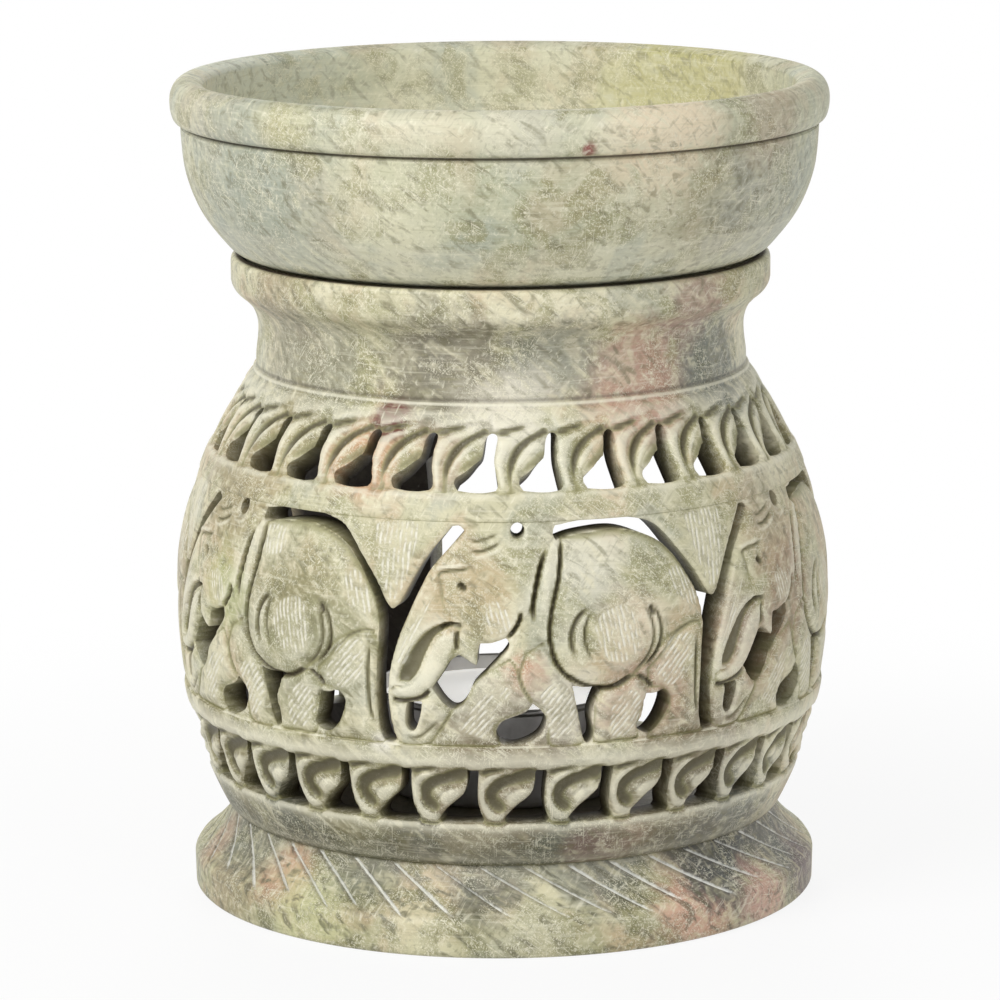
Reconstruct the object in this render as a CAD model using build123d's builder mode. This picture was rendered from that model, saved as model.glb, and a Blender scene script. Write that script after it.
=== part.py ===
# Essential oil burner of turned and pierced soapstone: a foot, a pot with elephant and leaf fretwork,
# a bowl that lifts off, and the tealight that slides in through the doorway behind.
# Millimetres, +Z up, the origin under the middle of the foot, the doorway facing +Y.
import os
from math import asin, cos, degrees, radians, sin, sqrt

from build123d import *

os.makedirs("parts", exist_ok=True)

# Foot
FOOT_HEIGHT = 12.1
FOOT_EDGE_HEIGHT = 5.2
FOOT_UNDERCUT = 0.3
FOOT_TOP_INSET = 0.36
FOOT_SLOPE_WIDTH = 6.1
FOOT_SAG = 0.5
FOOT_ROUND = 0.7
SPIGOT_HEIGHT = 2.3
SPIGOT_CLEARANCE = 0.2

# Pot: turned bands from the foot up
LIP_HEIGHT = 6.85
LOWER_LEAVES_HEIGHT = 8.75
LEDGE_HEIGHT = 3.2
FRIEZE_HEIGHT = 31.6
MIDDLE_RING_HEIGHT = 3.7
UPPER_LEAVES_HEIGHT = 8.2
TOP_RING_HEIGHT = 2.7
NECK_HEIGHT = 11.0
COLLAR_HEIGHT = 6.1

# Pot: radii and walls
BELLY_RADIUS = 48.35
BELLY_LINE_HEIGHT = 29.9
LOWER_CURVE = 62.5
UPPER_CURVE = 58.0
POT_WALL = 4.5
POT_FLOOR_LEDGE = 3.86
POT_EDGE_BEVEL = 0.8
TOP_RING_STEP = 0.35
NECK_INSET = 1.02
NECK_WALL = 5.0
COLLAR_LAND = 1.45
COLLAR_UNDER_RISE = 1.3
COLLAR_ROUND = 0.7

# Pierced work
UPPER_LEAF_COUNT = 29
LOWER_LEAF_COUNT = 30
UPPER_LEAVES_TURN = 0.8
LOWER_LEAVES_TURN = 6.6
ELEPHANT_COUNT = 4
ELEPHANT_PITCH = 57.8
ELEPHANT_TURN = -2.0
CROWN_HOLE_RADIUS = 1.0
CUT_OVERRUN = 3.0

# Doorway
DOOR_HALF_WIDTH = 24.3
DOOR_SHOULDER_HEIGHT = 40.6
DOOR_RISE = 9.0
DOOR_POST = 7.0

# Bowl
BOWL_SEAT_WIDTH = 2.3
BOWL_SPREAD = 13.55
BOWL_CURVE = 22.13
BOWL_BAND_HEIGHT = 0.95
BOWL_WALL = 3.6
BOWL_FLOOR = 5.0
BOWL_FLOOR_DISH = 0.6
RIM_WIDTH = 3.15
BEAD_HEIGHT = 6.6
BEAD_PROUD = 1.5
BEAD_GROOVE = 0.45
RIM_FALL = 0.9
SEAT_GAP = 0.35
SEAT_DEPTH = 2.6

# Tealight
CUP_RADIUS = 19.0
CUP_HEIGHT = 15.0
CUP_WALL = 0.3
CUP_LIP = 0.5
CUP_BEVEL = 1.0
WAX_HEIGHT = 12.2
WAX_RISE = 0.5
SUSTAINER_RADIUS = 7.5
SUSTAINER_PLATE = 0.3
SUSTAINER_NECK_RADIUS = 1.3
SUSTAINER_NECK_HEIGHT = 4.0
WICK_RADIUS = 0.7
WICK_ABOVE_WAX = 7.0

# Heights of the bands, from the ground
floor_z = FOOT_HEIGHT + SPIGOT_HEIGHT
lower_leaves_z = FOOT_HEIGHT + LIP_HEIGHT
ledge_z = lower_leaves_z + LOWER_LEAVES_HEIGHT
frieze_z = ledge_z + LEDGE_HEIGHT
middle_ring_z = frieze_z + FRIEZE_HEIGHT
upper_leaves_z = middle_ring_z + MIDDLE_RING_HEIGHT
top_ring_z = upper_leaves_z + UPPER_LEAVES_HEIGHT
neck_z = top_ring_z + TOP_RING_HEIGHT
collar_z = neck_z + NECK_HEIGHT
collar_top_z = collar_z + COLLAR_HEIGHT
belly_z = FOOT_HEIGHT + BELLY_LINE_HEIGHT
seat_z = collar_top_z - SEAT_DEPTH


# Outlines of the pierced work: shares of one repeat round the wall and of the band's height.
# Each side is straight through two points and smooth through more.
UPPER_LEAF_GAP_SHARES = [
    [(-0.27, 0.05), (0.36, 0.05)],
    [(0.36, 0.05), (0.32, 0.48), (0.37, 0.92)],
    [(0.37, 0.92), (0.18, 0.92)],
    [(0.18, 0.92), (0.13, 0.54)],
    [(0.13, 0.54), (-0.28, 0.23)],
    [(-0.28, 0.23), (-0.27, 0.05)],
]
LOWER_LEAF_GAP_SHARES = [
    [(0.02, 0.04), (0.70, 0.04)],
    [(0.70, 0.04), (0.63, 0.45), (0.65, 0.95)],
    [(0.65, 0.95), (0.47, 0.95)],
    [(0.47, 0.95), (0.44, 0.62)],
    [(0.44, 0.62), (0.02, 0.10)],
    [(0.02, 0.10), (0.02, 0.04)],
]
# Long gap between two elephants: over one's back, round the pendant and down the other's forehead
LONG_GAP_SHARES = [
    [(-0.476, 0.985), (-0.30, 1.006), (-0.15, 0.955), (-0.055, 0.80), (0.04, 0.61)],
    [(0.04, 0.61), (0.125, 0.83), (0.205, 0.985)],
    [(0.205, 0.985), (0.247, 0.96)],
    [(0.247, 0.96), (0.135, 0.78), (0.06, 0.52), (0.02, 0.30), (0.022, 0.05)],
    [(0.022, 0.05), (0.002, 0.02)],
    [(0.002, 0.02), (-0.016, 0.22), (-0.014, 0.48), (-0.05, 0.72), (-0.15, 0.885), (-0.30, 0.955),
     (-0.474, 0.925)],
    [(-0.474, 0.925), (-0.476, 0.985)],
]
FIRST_GAP_SHARES = [
    [(0.04, 0.61), (0.125, 0.83), (0.205, 0.985)],
    [(0.205, 0.985), (0.247, 0.96)],
    [(0.247, 0.96), (0.135, 0.78), (0.06, 0.52), (0.02, 0.30), (0.022, 0.05)],
    [(0.022, 0.05), (-0.016, 0.10)],
    [(-0.016, 0.10), (-0.018, 0.35), (0.04, 0.61)],
]
LAST_GAP_SHARES = [
    [(-0.476, 0.985), (-0.30, 1.006), (-0.15, 0.955), (-0.055, 0.80), (0.03, 0.61)],
    [(0.03, 0.61), (0.022, 0.05)],
    [(0.022, 0.05), (0.002, 0.02)],
    [(0.002, 0.02), (-0.016, 0.22), (-0.014, 0.48), (-0.05, 0.72), (-0.15, 0.885), (-0.30, 0.955),
     (-0.474, 0.925)],
    [(-0.474, 0.925), (-0.476, 0.985)],
]
# Inside one elephant: under the jaw, inside the trunk's curl, between the legs and under the belly
JAW_GAP_SHARES = [
    [(0.152, 0.26), (0.165, 0.345), (0.232, 0.425)],
    [(0.232, 0.425), (0.262, 0.385)],
    [(0.262, 0.385), (0.290, 0.478)],
    [(0.290, 0.478), (0.370, 0.505)],
    [(0.370, 0.505), (0.325, 0.37), (0.250, 0.24), (0.210, 0.175)],
    [(0.210, 0.175), (0.178, 0.20), (0.152, 0.26)],
]
CURL_GAP_SHARES = [
    [(0.074, 0.20), (0.119, 0.21)],
    [(0.119, 0.21), (0.118, 0.14), (0.097, 0.075)],
    [(0.097, 0.075), (0.070, 0.095)],
    [(0.070, 0.095), (0.074, 0.20)],
]
FRONT_LEG_GAP_SHARES = [
    [(0.339, 0.075), (0.445, 0.20)],
    [(0.445, 0.20), (0.486, 0.13)],
    [(0.486, 0.13), (0.455, 0.04), (0.397, 0.01), (0.339, 0.075)],
]
BELLY_GAP_SHARES = [
    [(0.562, 0.277), (0.653, 0.266)],
    [(0.653, 0.266), (0.622, 0.15), (0.628, 0.045)],
    [(0.628, 0.045), (0.602, 0.03)],
    [(0.602, 0.03), (0.562, 0.277)],
]
REAR_LEG_GAP_SHARES = [
    [(0.792, 0.20), (0.850, 0.222), (0.872, 0.15)],
    [(0.872, 0.15), (0.845, 0.03)],
    [(0.845, 0.03), (0.767, 0.065)],
    [(0.767, 0.065), (0.792, 0.20)],
]
CROWN_HOLE_SHARE = (0.407, 0.965)


def wall_radius(height: float) -> float:
    """Outer radius of the pot's belly at a height."""
    curve = LOWER_CURVE if height < belly_z else UPPER_CURVE
    return BELLY_RADIUS - curve + sqrt(curve**2 - (height - belly_z) ** 2)


def inner_radius(height: float) -> float:
    """Inner radius of the pot's belly at a height."""
    curve = LOWER_CURVE if height < belly_z else UPPER_CURVE
    return BELLY_RADIUS - curve + sqrt((curve - POT_WALL) ** 2 - (height - belly_z) ** 2)


def wall_plane(azimuth: float, distance: float = 0) -> Plane:
    """Upright plane, at a distance from the axis, that faces out at an azimuth from -Y towards +X."""
    return Plane.XZ.rotated((0, 0, azimuth)).offset(distance)


def wall_point(share: tuple, base: float, height: float, pitch: float) -> tuple:
    """A share of one repeat and of the band, as a point of the plane that faces that repeat."""
    z = base + share[1] * height
    return wall_radius(z) * sin(radians(share[0] * pitch)), z


def trace(sides: list, base: float, height: float, pitch: float) -> None:
    """Draw an outline's sides into the line that is being built."""
    for side in sides:
        points = [wall_point(share, base, height, pitch) for share in side]
        if len(points) == 2:
            Line(*points)
        else:
            Spline(*points)


# Radii that follow one another, from the belly up to the bowl and down to the foot
edge_z = FOOT_HEIGHT + POT_EDGE_BEVEL
foot_top_radius = wall_radius(edge_z) - POT_EDGE_BEVEL - FOOT_TOP_INSET
foot_radius = foot_top_radius + FOOT_SLOPE_WIDTH
pot_opening_radius = inner_radius(floor_z) - POT_FLOOR_LEDGE
neck_radius = wall_radius(neck_z) - NECK_INSET
bore_radius = neck_radius - NECK_WALL
bowl_base_radius = bore_radius + BOWL_SEAT_WIDTH
bowl_radius = bowl_base_radius + BOWL_SPREAD
bowl_curve_x = bowl_radius - BOWL_CURVE
bowl_curve_z = seat_z + sqrt(BOWL_CURVE**2 - (bowl_base_radius - bowl_curve_x) ** 2)
dish_curve = BOWL_CURVE + SEAT_GAP
dish_edge_x = bowl_curve_x + sqrt(dish_curve**2 - (bowl_curve_z - collar_top_z) ** 2)
collar_radius = dish_edge_x + COLLAR_LAND

upper_leaf_pitch = 360 / UPPER_LEAF_COUNT
lower_leaf_pitch = 360 / LOWER_LEAF_COUNT
upper_cut_start = inner_radius(top_ring_z) - CUT_OVERRUN
lower_cut_start = inner_radius(lower_leaves_z) - CUT_OVERRUN
frieze_cut_start = inner_radius(middle_ring_z) * cos(radians(ELEPHANT_PITCH / 2)) - CUT_OVERRUN
door_cut_start = sqrt(inner_radius(floor_z) ** 2 - DOOR_HALF_WIDTH**2) - CUT_OVERRUN
cut_depth = BELLY_RADIUS + CUT_OVERRUN - min(upper_cut_start, frieze_cut_start, door_cut_start)
door_angle = degrees(asin((DOOR_HALF_WIDTH + DOOR_POST) / wall_radius(ledge_z)))
elephant_lines = [
    ELEPHANT_TURN + (index - ELEPHANT_COUNT / 2) * ELEPHANT_PITCH for index in range(ELEPHANT_COUNT + 1)
]
upper_gap_turns = [UPPER_LEAVES_TURN + index * upper_leaf_pitch for index in range(UPPER_LEAF_COUNT)]
lower_gap_turns = [
    turn
    for turn in (LOWER_LEAVES_TURN + index * lower_leaf_pitch for index in range(LOWER_LEAF_COUNT))
    if abs((turn + lower_leaf_pitch / 2) % 360 - 180) > door_angle
]

# Foot: a turned disc with a sloping shoulder and a spigot that centres the pot
spigot_radius = pot_opening_radius - SPIGOT_CLEARANCE
shoulder_middle = (
    (foot_radius + foot_top_radius) / 2 - FOOT_SAG,
    (FOOT_EDGE_HEIGHT + FOOT_HEIGHT) / 2,
)
with BuildPart() as foot:
    with BuildSketch(Plane.XZ):
        with BuildLine():
            side = FilletPolyline(
                (0, 0),
                (foot_radius - FOOT_UNDERCUT, 0),
                (foot_radius, FOOT_EDGE_HEIGHT),
                (foot_radius - FOOT_ROUND, FOOT_EDGE_HEIGHT + FOOT_ROUND),
                radius=FOOT_ROUND / 2,
            )
            ThreePointArc(side @ 1, shoulder_middle, (foot_top_radius, FOOT_HEIGHT))
            Polyline(
                (foot_top_radius, FOOT_HEIGHT),
                (spigot_radius, FOOT_HEIGHT),
                (spigot_radius, floor_z),
                (0, floor_z),
                (0, 0),
            )
        make_face()
    revolve(axis=Axis.Z)
foot.part.label = "foot"
export_step(foot.part, "parts/foot.step")

# Bowl: flat base, one turned curve, a groove and a bead under the rim, and a shallow well
bead_z = bowl_curve_z + BOWL_BAND_HEIGHT + BEAD_GROOVE
bowl_top_z = bead_z + BEAD_HEIGHT
bowl_mouth_radius = bowl_radius - RIM_WIDTH
well_curve = BOWL_CURVE - BOWL_WALL
well_z = seat_z + BOWL_FLOOR + BOWL_FLOOR_DISH
well_edge_x = bowl_curve_x + sqrt(well_curve**2 - (bowl_curve_z - well_z) ** 2)
diagonal = sqrt(1 / 2)
with BuildPart() as bowl:
    with BuildSketch(Plane.XZ):
        with BuildLine():
            Line((0, seat_z), (bowl_base_radius, seat_z))
            ThreePointArc(
                (bowl_base_radius, seat_z),
                (bowl_curve_x + BOWL_CURVE * diagonal, bowl_curve_z - BOWL_CURVE * diagonal),
                (bowl_radius, bowl_curve_z),
            )
            Polyline(
                (bowl_radius, bowl_curve_z),
                (bowl_radius, bead_z - BEAD_GROOVE),
                (bowl_radius - BEAD_GROOVE, bead_z),
                (bowl_radius + BEAD_GROOVE, bead_z + BEAD_GROOVE / 2),
            )
            bead = ThreePointArc(
                (bowl_radius + BEAD_GROOVE, bead_z + BEAD_GROOVE / 2),
                (bowl_radius + BEAD_PROUD, bead_z + BEAD_HEIGHT / 2),
                (bowl_radius - BEAD_GROOVE, bowl_top_z),
            )
            Line(bead @ 1, (bowl_mouth_radius, bowl_top_z - RIM_FALL))
            Line(
                (bowl_mouth_radius, bowl_top_z - RIM_FALL),
                (bowl_curve_x + well_curve, bowl_curve_z),
            )
            ThreePointArc(
                (bowl_curve_x + well_curve, bowl_curve_z),
                (bowl_curve_x + well_curve * cos(radians(30)), bowl_curve_z - well_curve / 2),
                (well_edge_x, well_z),
            )
            Polyline((well_edge_x, well_z), (0, well_z - BOWL_FLOOR_DISH), (0, seat_z))
        make_face()
    revolve(axis=Axis.Z)
bowl.part.label = "bowl"
export_step(bowl.part, "parts/bowl.step")

# Pierced pot: turned first, then the doorway, the leaf bands and the elephants are cut through its wall
dish_seat_x = bowl_curve_x + sqrt(dish_curve**2 - (bowl_curve_z - seat_z) ** 2)
dish_middle_z = (collar_top_z + seat_z) / 2
dish_middle_x = bowl_curve_x + sqrt(dish_curve**2 - (bowl_curve_z - dish_middle_z) ** 2)
lower_middle_z = (edge_z + belly_z) / 2
upper_middle_z = (belly_z + neck_z) / 2
inner_top_z = belly_z + sqrt((UPPER_CURVE - POT_WALL) ** 2 - (bore_radius - BELLY_RADIUS + UPPER_CURVE) ** 2)
inner_middle_z = (belly_z + inner_top_z) / 2
inner_lower_z = (belly_z + floor_z) / 2
with BuildPart() as pierced_pot:
    with BuildSketch(Plane.XZ):
        with BuildLine():
            Polyline(
                (inner_radius(floor_z), floor_z),
                (pot_opening_radius, floor_z),
                (pot_opening_radius, FOOT_HEIGHT),
                (wall_radius(edge_z) - POT_EDGE_BEVEL, FOOT_HEIGHT),
                (wall_radius(edge_z), edge_z),
            )
            ThreePointArc(
                (wall_radius(edge_z), edge_z),
                (wall_radius(lower_middle_z), lower_middle_z),
                (BELLY_RADIUS, belly_z),
            )
            ThreePointArc(
                (BELLY_RADIUS, belly_z),
                (wall_radius(upper_middle_z), upper_middle_z),
                (wall_radius(neck_z), neck_z),
            )
            Line((wall_radius(neck_z), neck_z), (wall_radius(neck_z) - TOP_RING_STEP, neck_z))
            neck = ThreePointArc(
                (wall_radius(neck_z) - TOP_RING_STEP, neck_z),
                (neck_radius, neck_z + NECK_HEIGHT / 2),
                (collar_radius - COLLAR_UNDER_RISE, collar_z),
            )
            collar = FilletPolyline(
                neck @ 1,
                (collar_radius, collar_z + COLLAR_UNDER_RISE),
                (collar_radius, collar_top_z),
                (dish_edge_x, collar_top_z),
                radius=COLLAR_ROUND,
            )
            ThreePointArc(collar @ 1, (dish_middle_x, dish_middle_z), (dish_seat_x, seat_z))
            Polyline((dish_seat_x, seat_z), (bore_radius, seat_z), (bore_radius, inner_top_z))
            ThreePointArc(
                (bore_radius, inner_top_z),
                (inner_radius(inner_middle_z), inner_middle_z),
                (BELLY_RADIUS - POT_WALL, belly_z),
            )
            ThreePointArc(
                (BELLY_RADIUS - POT_WALL, belly_z),
                (inner_radius(inner_lower_z), inner_lower_z),
                (inner_radius(floor_z), floor_z),
            )
        make_face()
    revolve(axis=Axis.Z)
    shoulder_z = floor_z + DOOR_SHOULDER_HEIGHT
    with BuildSketch(wall_plane(180, door_cut_start)):
        with BuildLine():
            Polyline(
                (DOOR_HALF_WIDTH, shoulder_z),
                (DOOR_HALF_WIDTH, floor_z),
                (-DOOR_HALF_WIDTH, floor_z),
                (-DOOR_HALF_WIDTH, shoulder_z),
            )
            ThreePointArc(
                (-DOOR_HALF_WIDTH, shoulder_z),
                (0, shoulder_z + DOOR_RISE),
                (DOOR_HALF_WIDTH, shoulder_z),
            )
        make_face()
    with BuildSketch(*[wall_plane(turn, upper_cut_start) for turn in upper_gap_turns]):
        with BuildLine():
            trace(UPPER_LEAF_GAP_SHARES, upper_leaves_z, UPPER_LEAVES_HEIGHT, upper_leaf_pitch)
        make_face()
    with BuildSketch(*[wall_plane(turn, lower_cut_start) for turn in lower_gap_turns]):
        with BuildLine():
            trace(LOWER_LEAF_GAP_SHARES, lower_leaves_z, LOWER_LEAVES_HEIGHT, lower_leaf_pitch)
        make_face()
    extrude(amount=cut_depth, mode=Mode.SUBTRACT)
    with BuildSketch(wall_plane(elephant_lines[0], frieze_cut_start)):
        with BuildLine():
            trace(FIRST_GAP_SHARES, frieze_z, FRIEZE_HEIGHT, ELEPHANT_PITCH)
        make_face()
    with BuildSketch(*[wall_plane(line, frieze_cut_start) for line in elephant_lines[1:-1]]):
        with BuildLine():
            trace(LONG_GAP_SHARES, frieze_z, FRIEZE_HEIGHT, ELEPHANT_PITCH)
        make_face()
    with BuildSketch(wall_plane(elephant_lines[-1], frieze_cut_start)):
        with BuildLine():
            trace(LAST_GAP_SHARES, frieze_z, FRIEZE_HEIGHT, ELEPHANT_PITCH)
        make_face()
    for gap in (JAW_GAP_SHARES, CURL_GAP_SHARES, FRONT_LEG_GAP_SHARES, BELLY_GAP_SHARES, REAR_LEG_GAP_SHARES):
        middle = sum(side[0][0] for side in gap) / len(gap)
        centred = [[(u - middle, v) for u, v in side] for side in gap]
        turns = [line + middle * ELEPHANT_PITCH for line in elephant_lines[:-1]]
        with BuildSketch(*[wall_plane(turn, frieze_cut_start) for turn in turns]):
            with BuildLine():
                trace(centred, frieze_z, FRIEZE_HEIGHT, ELEPHANT_PITCH)
            make_face()
    turns = [line + CROWN_HOLE_SHARE[0] * ELEPHANT_PITCH for line in elephant_lines[:-1]]
    with BuildSketch(*[wall_plane(turn, frieze_cut_start) for turn in turns]):
        with Locations((0, frieze_z + CROWN_HOLE_SHARE[1] * FRIEZE_HEIGHT)):
            Circle(CROWN_HOLE_RADIUS)
    extrude(amount=cut_depth, mode=Mode.SUBTRACT)
pierced_pot.part.label = "pierced_pot"
export_step(pierced_pot.part, "parts/pierced_pot.step")

# Tealight cup: thin drawn metal with a rolled lip
cup_side = CUP_RADIUS - CUP_LIP
cup_top_z = floor_z + CUP_HEIGHT
wax_radius = cup_side - CUP_WALL
inner_bevel = CUP_BEVEL - CUP_WALL
plate_z = floor_z + CUP_WALL
with BuildPart() as tealight_cup:
    with BuildSketch(Plane.XZ):
        with BuildLine():
            Polyline(
                (0, floor_z),
                (cup_side - CUP_BEVEL, floor_z),
                (cup_side, floor_z + CUP_BEVEL),
                (cup_side, cup_top_z - 2 * CUP_LIP),
                (CUP_RADIUS, cup_top_z - CUP_LIP),
                (cup_side, cup_top_z),
                (wax_radius, cup_top_z),
                (wax_radius, plate_z + inner_bevel),
                (wax_radius - inner_bevel, plate_z),
                (0, plate_z),
                (0, floor_z),
            )
        make_face()
    revolve(axis=Axis.Z)
tealight_cup.part.label = "tealight_cup"
export_step(tealight_cup.part, "parts/tealight_cup.step")

# Wick sustainer: a pressed plate on the cup's floor with a neck that grips the wick
neck_top_z = plate_z + SUSTAINER_PLATE + SUSTAINER_NECK_HEIGHT
with BuildPart() as wick_sustainer:
    with BuildSketch(Plane.XY.offset(plate_z)):
        Circle(SUSTAINER_RADIUS)
    extrude(amount=SUSTAINER_PLATE)
    with BuildSketch(Plane.XY.offset(plate_z + SUSTAINER_PLATE)):
        Circle(SUSTAINER_NECK_RADIUS)
    extrude(amount=SUSTAINER_NECK_HEIGHT)
    with BuildSketch(Plane.XY.offset(plate_z + SUSTAINER_PLATE)):
        Circle(WICK_RADIUS)
    extrude(amount=SUSTAINER_NECK_HEIGHT, mode=Mode.SUBTRACT)
wick_sustainer.part.label = "wick_sustainer"
export_step(wick_sustainer.part, "parts/wick_sustainer.step")

# Wax: fills the cup round the sustainer, with a low rise towards the wick
wax_top_z = plate_z + WAX_HEIGHT
with BuildPart() as wax:
    with BuildSketch(Plane.XZ):
        with BuildLine():
            Polyline(
                (WICK_RADIUS, wax_top_z + WAX_RISE),
                (WICK_RADIUS, neck_top_z),
                (SUSTAINER_NECK_RADIUS, neck_top_z),
                (SUSTAINER_NECK_RADIUS, plate_z + SUSTAINER_PLATE),
                (SUSTAINER_RADIUS, plate_z + SUSTAINER_PLATE),
                (SUSTAINER_RADIUS, plate_z),
                (wax_radius - inner_bevel, plate_z),
                (wax_radius, plate_z + inner_bevel),
                (wax_radius, wax_top_z),
                (WICK_RADIUS, wax_top_z + WAX_RISE),
            )
        make_face()
    revolve(axis=Axis.Z)
wax.part.label = "wax"
export_step(wax.part, "parts/wax.step")

# Wick: a short cord from the sustainer's neck to above the wax
with BuildPart() as wick:
    with BuildSketch(Plane.XY.offset(plate_z + SUSTAINER_PLATE)):
        Circle(WICK_RADIUS)
    extrude(amount=WAX_HEIGHT - SUSTAINER_PLATE + WICK_ABOVE_WAX)
wick.part.label = "wick"
export_step(wick.part, "parts/wick.step")
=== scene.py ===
"""Looks of an essential oil burner in carved soapstone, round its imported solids.

A turned foot with engraved rays carries a pierced pot: two bands of leaves, a frieze of elephants, a neck
and a collar. A turned bowl sits in the collar and a tealight stands inside the pot. Sizes are in
millimetres, azimuths run from -Y towards +X, and the doorway faces +Y.
"""
import logging
import math
from dataclasses import dataclass
from enum import Enum
from typing import Callable, Iterable, Sequence

import bmesh
import bpy
import numpy as np
from mathutils import Matrix, Vector


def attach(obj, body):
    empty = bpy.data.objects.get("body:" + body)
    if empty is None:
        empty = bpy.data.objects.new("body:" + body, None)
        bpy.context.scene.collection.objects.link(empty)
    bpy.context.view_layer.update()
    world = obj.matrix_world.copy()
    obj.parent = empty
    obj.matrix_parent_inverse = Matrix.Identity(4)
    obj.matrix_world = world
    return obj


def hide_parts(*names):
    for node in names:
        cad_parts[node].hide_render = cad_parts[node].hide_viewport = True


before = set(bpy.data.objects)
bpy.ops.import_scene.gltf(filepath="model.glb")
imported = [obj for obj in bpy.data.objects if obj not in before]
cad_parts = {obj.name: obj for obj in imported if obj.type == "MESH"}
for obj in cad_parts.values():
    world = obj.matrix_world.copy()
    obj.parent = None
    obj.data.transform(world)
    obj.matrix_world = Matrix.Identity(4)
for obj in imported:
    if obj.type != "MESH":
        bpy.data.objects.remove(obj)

LOG = logging.getLogger("oil_burner")
MM = 0.001
ROUND = 2 * math.pi
FAR = 1e9
SAME = 1e-6

# Heights at which the pieces stand on one another, in millimetres

FOOT_TOP = 12.1
SPIGOT_TOP = 14.4
SEAT_Z = 91.6

Point = tuple[float, float]
Place = tuple[float, float, float]
Side = tuple[Point, ...]
Outline = tuple[Side, ...]
Colour = tuple[float, float, float]
Screen = tuple[int, int, int]
Array = np.ndarray
Marks = dict[str, Array]
Piece = bpy.types.Object


def smooth(low: float, high: float, value: Array) -> Array:
    """Soft step from 0 at low to 1 at high."""
    share = np.clip((value - low) / (high - low), 0, 1)
    return share * share * (3 - 2 * share)


def blend(first: Array, second: Array, share: Array) -> Array:
    """First where share is 0, second where it is 1."""
    return first + (second - first) * share


def curve_through(points: Sequence[Point], steps: int = 6) -> Array:
    """A smooth line through points.

    Args:
        points: two points for a straight line, more for a curve.
        steps: pieces between one point and the next.

    Returns:
        The line's points, one row each.
    """
    knots = np.array(points, float)
    if len(knots) == 2:
        return knots
    ends = np.vstack([2 * knots[0] - knots[1], knots, 2 * knots[-1] - knots[-2]])
    share = np.arange(steps)[:, None] / steps
    parts = []
    for a, b, c, d in zip(ends, ends[1:], ends[2:], ends[3:]):
        parts.append(
            0.5 * (2 * b + (c - a) * share + (2 * a - 5 * b + 4 * c - d) * share**2
                   + (3 * b - a - 3 * c + d) * share**3)
        )
    return np.vstack([*parts, knots[-1:]])


def outline_through(sides: Outline) -> Array:
    """A closed outline from its sides, each straight or smooth."""
    return np.vstack([curve_through(side)[:-1] for side in sides])


def loop_through(points: Side) -> Array:
    """A smooth closed outline through points."""
    return outline_through(((*points, points[0]),))


def line_distance(line: Array, x: Array, z: Array) -> tuple[Array, Array]:
    """Distance to an open line, and how far along it the nearest place is.

    Args:
        line: the line's points.
        x: places across.
        z: places upwards.

    Returns:
        The distances in millimetres, and the shares of the line's length.
    """
    best = np.full(x.shape, FAR)
    along = np.zeros(x.shape)
    steps = np.diff(line, axis=0)
    lengths = np.hypot(*steps.T)
    passed = 0.0
    for (start_x, start_z), (dx, dz), length in zip(line, steps, lengths):
        if length < SAME:
            continue
        share = np.clip(((x - start_x) * dx + (z - start_z) * dz) / length**2, 0, 1)
        away = np.hypot(x - start_x - share * dx, z - start_z - share * dz)
        nearer = away < best
        best = np.where(nearer, away, best)
        along = np.where(nearer, passed + share * length, along)
        passed += length
    return best, along / max(passed, SAME)


def inside_distance(outline: Array, x: Array, z: Array) -> Array:
    """Distance to a closed outline.

    Args:
        outline: the outline's points.
        x: places across.
        z: places upwards.

    Returns:
        The distances in millimetres, positive inside.
    """
    closed = np.vstack([outline, outline[:1]])
    away, _ = line_distance(closed, x, z)
    within = np.zeros(x.shape, bool)
    for (x0, z0), (x1, z1) in zip(closed, closed[1:]):
        if z0 == z1:
            continue
        crosses = (z0 > z) != (z1 > z)
        within ^= crosses & (x < (x1 - x0) * (z - z0) / (z1 - z0) + x0)
    return np.where(within, away, -away)


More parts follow.
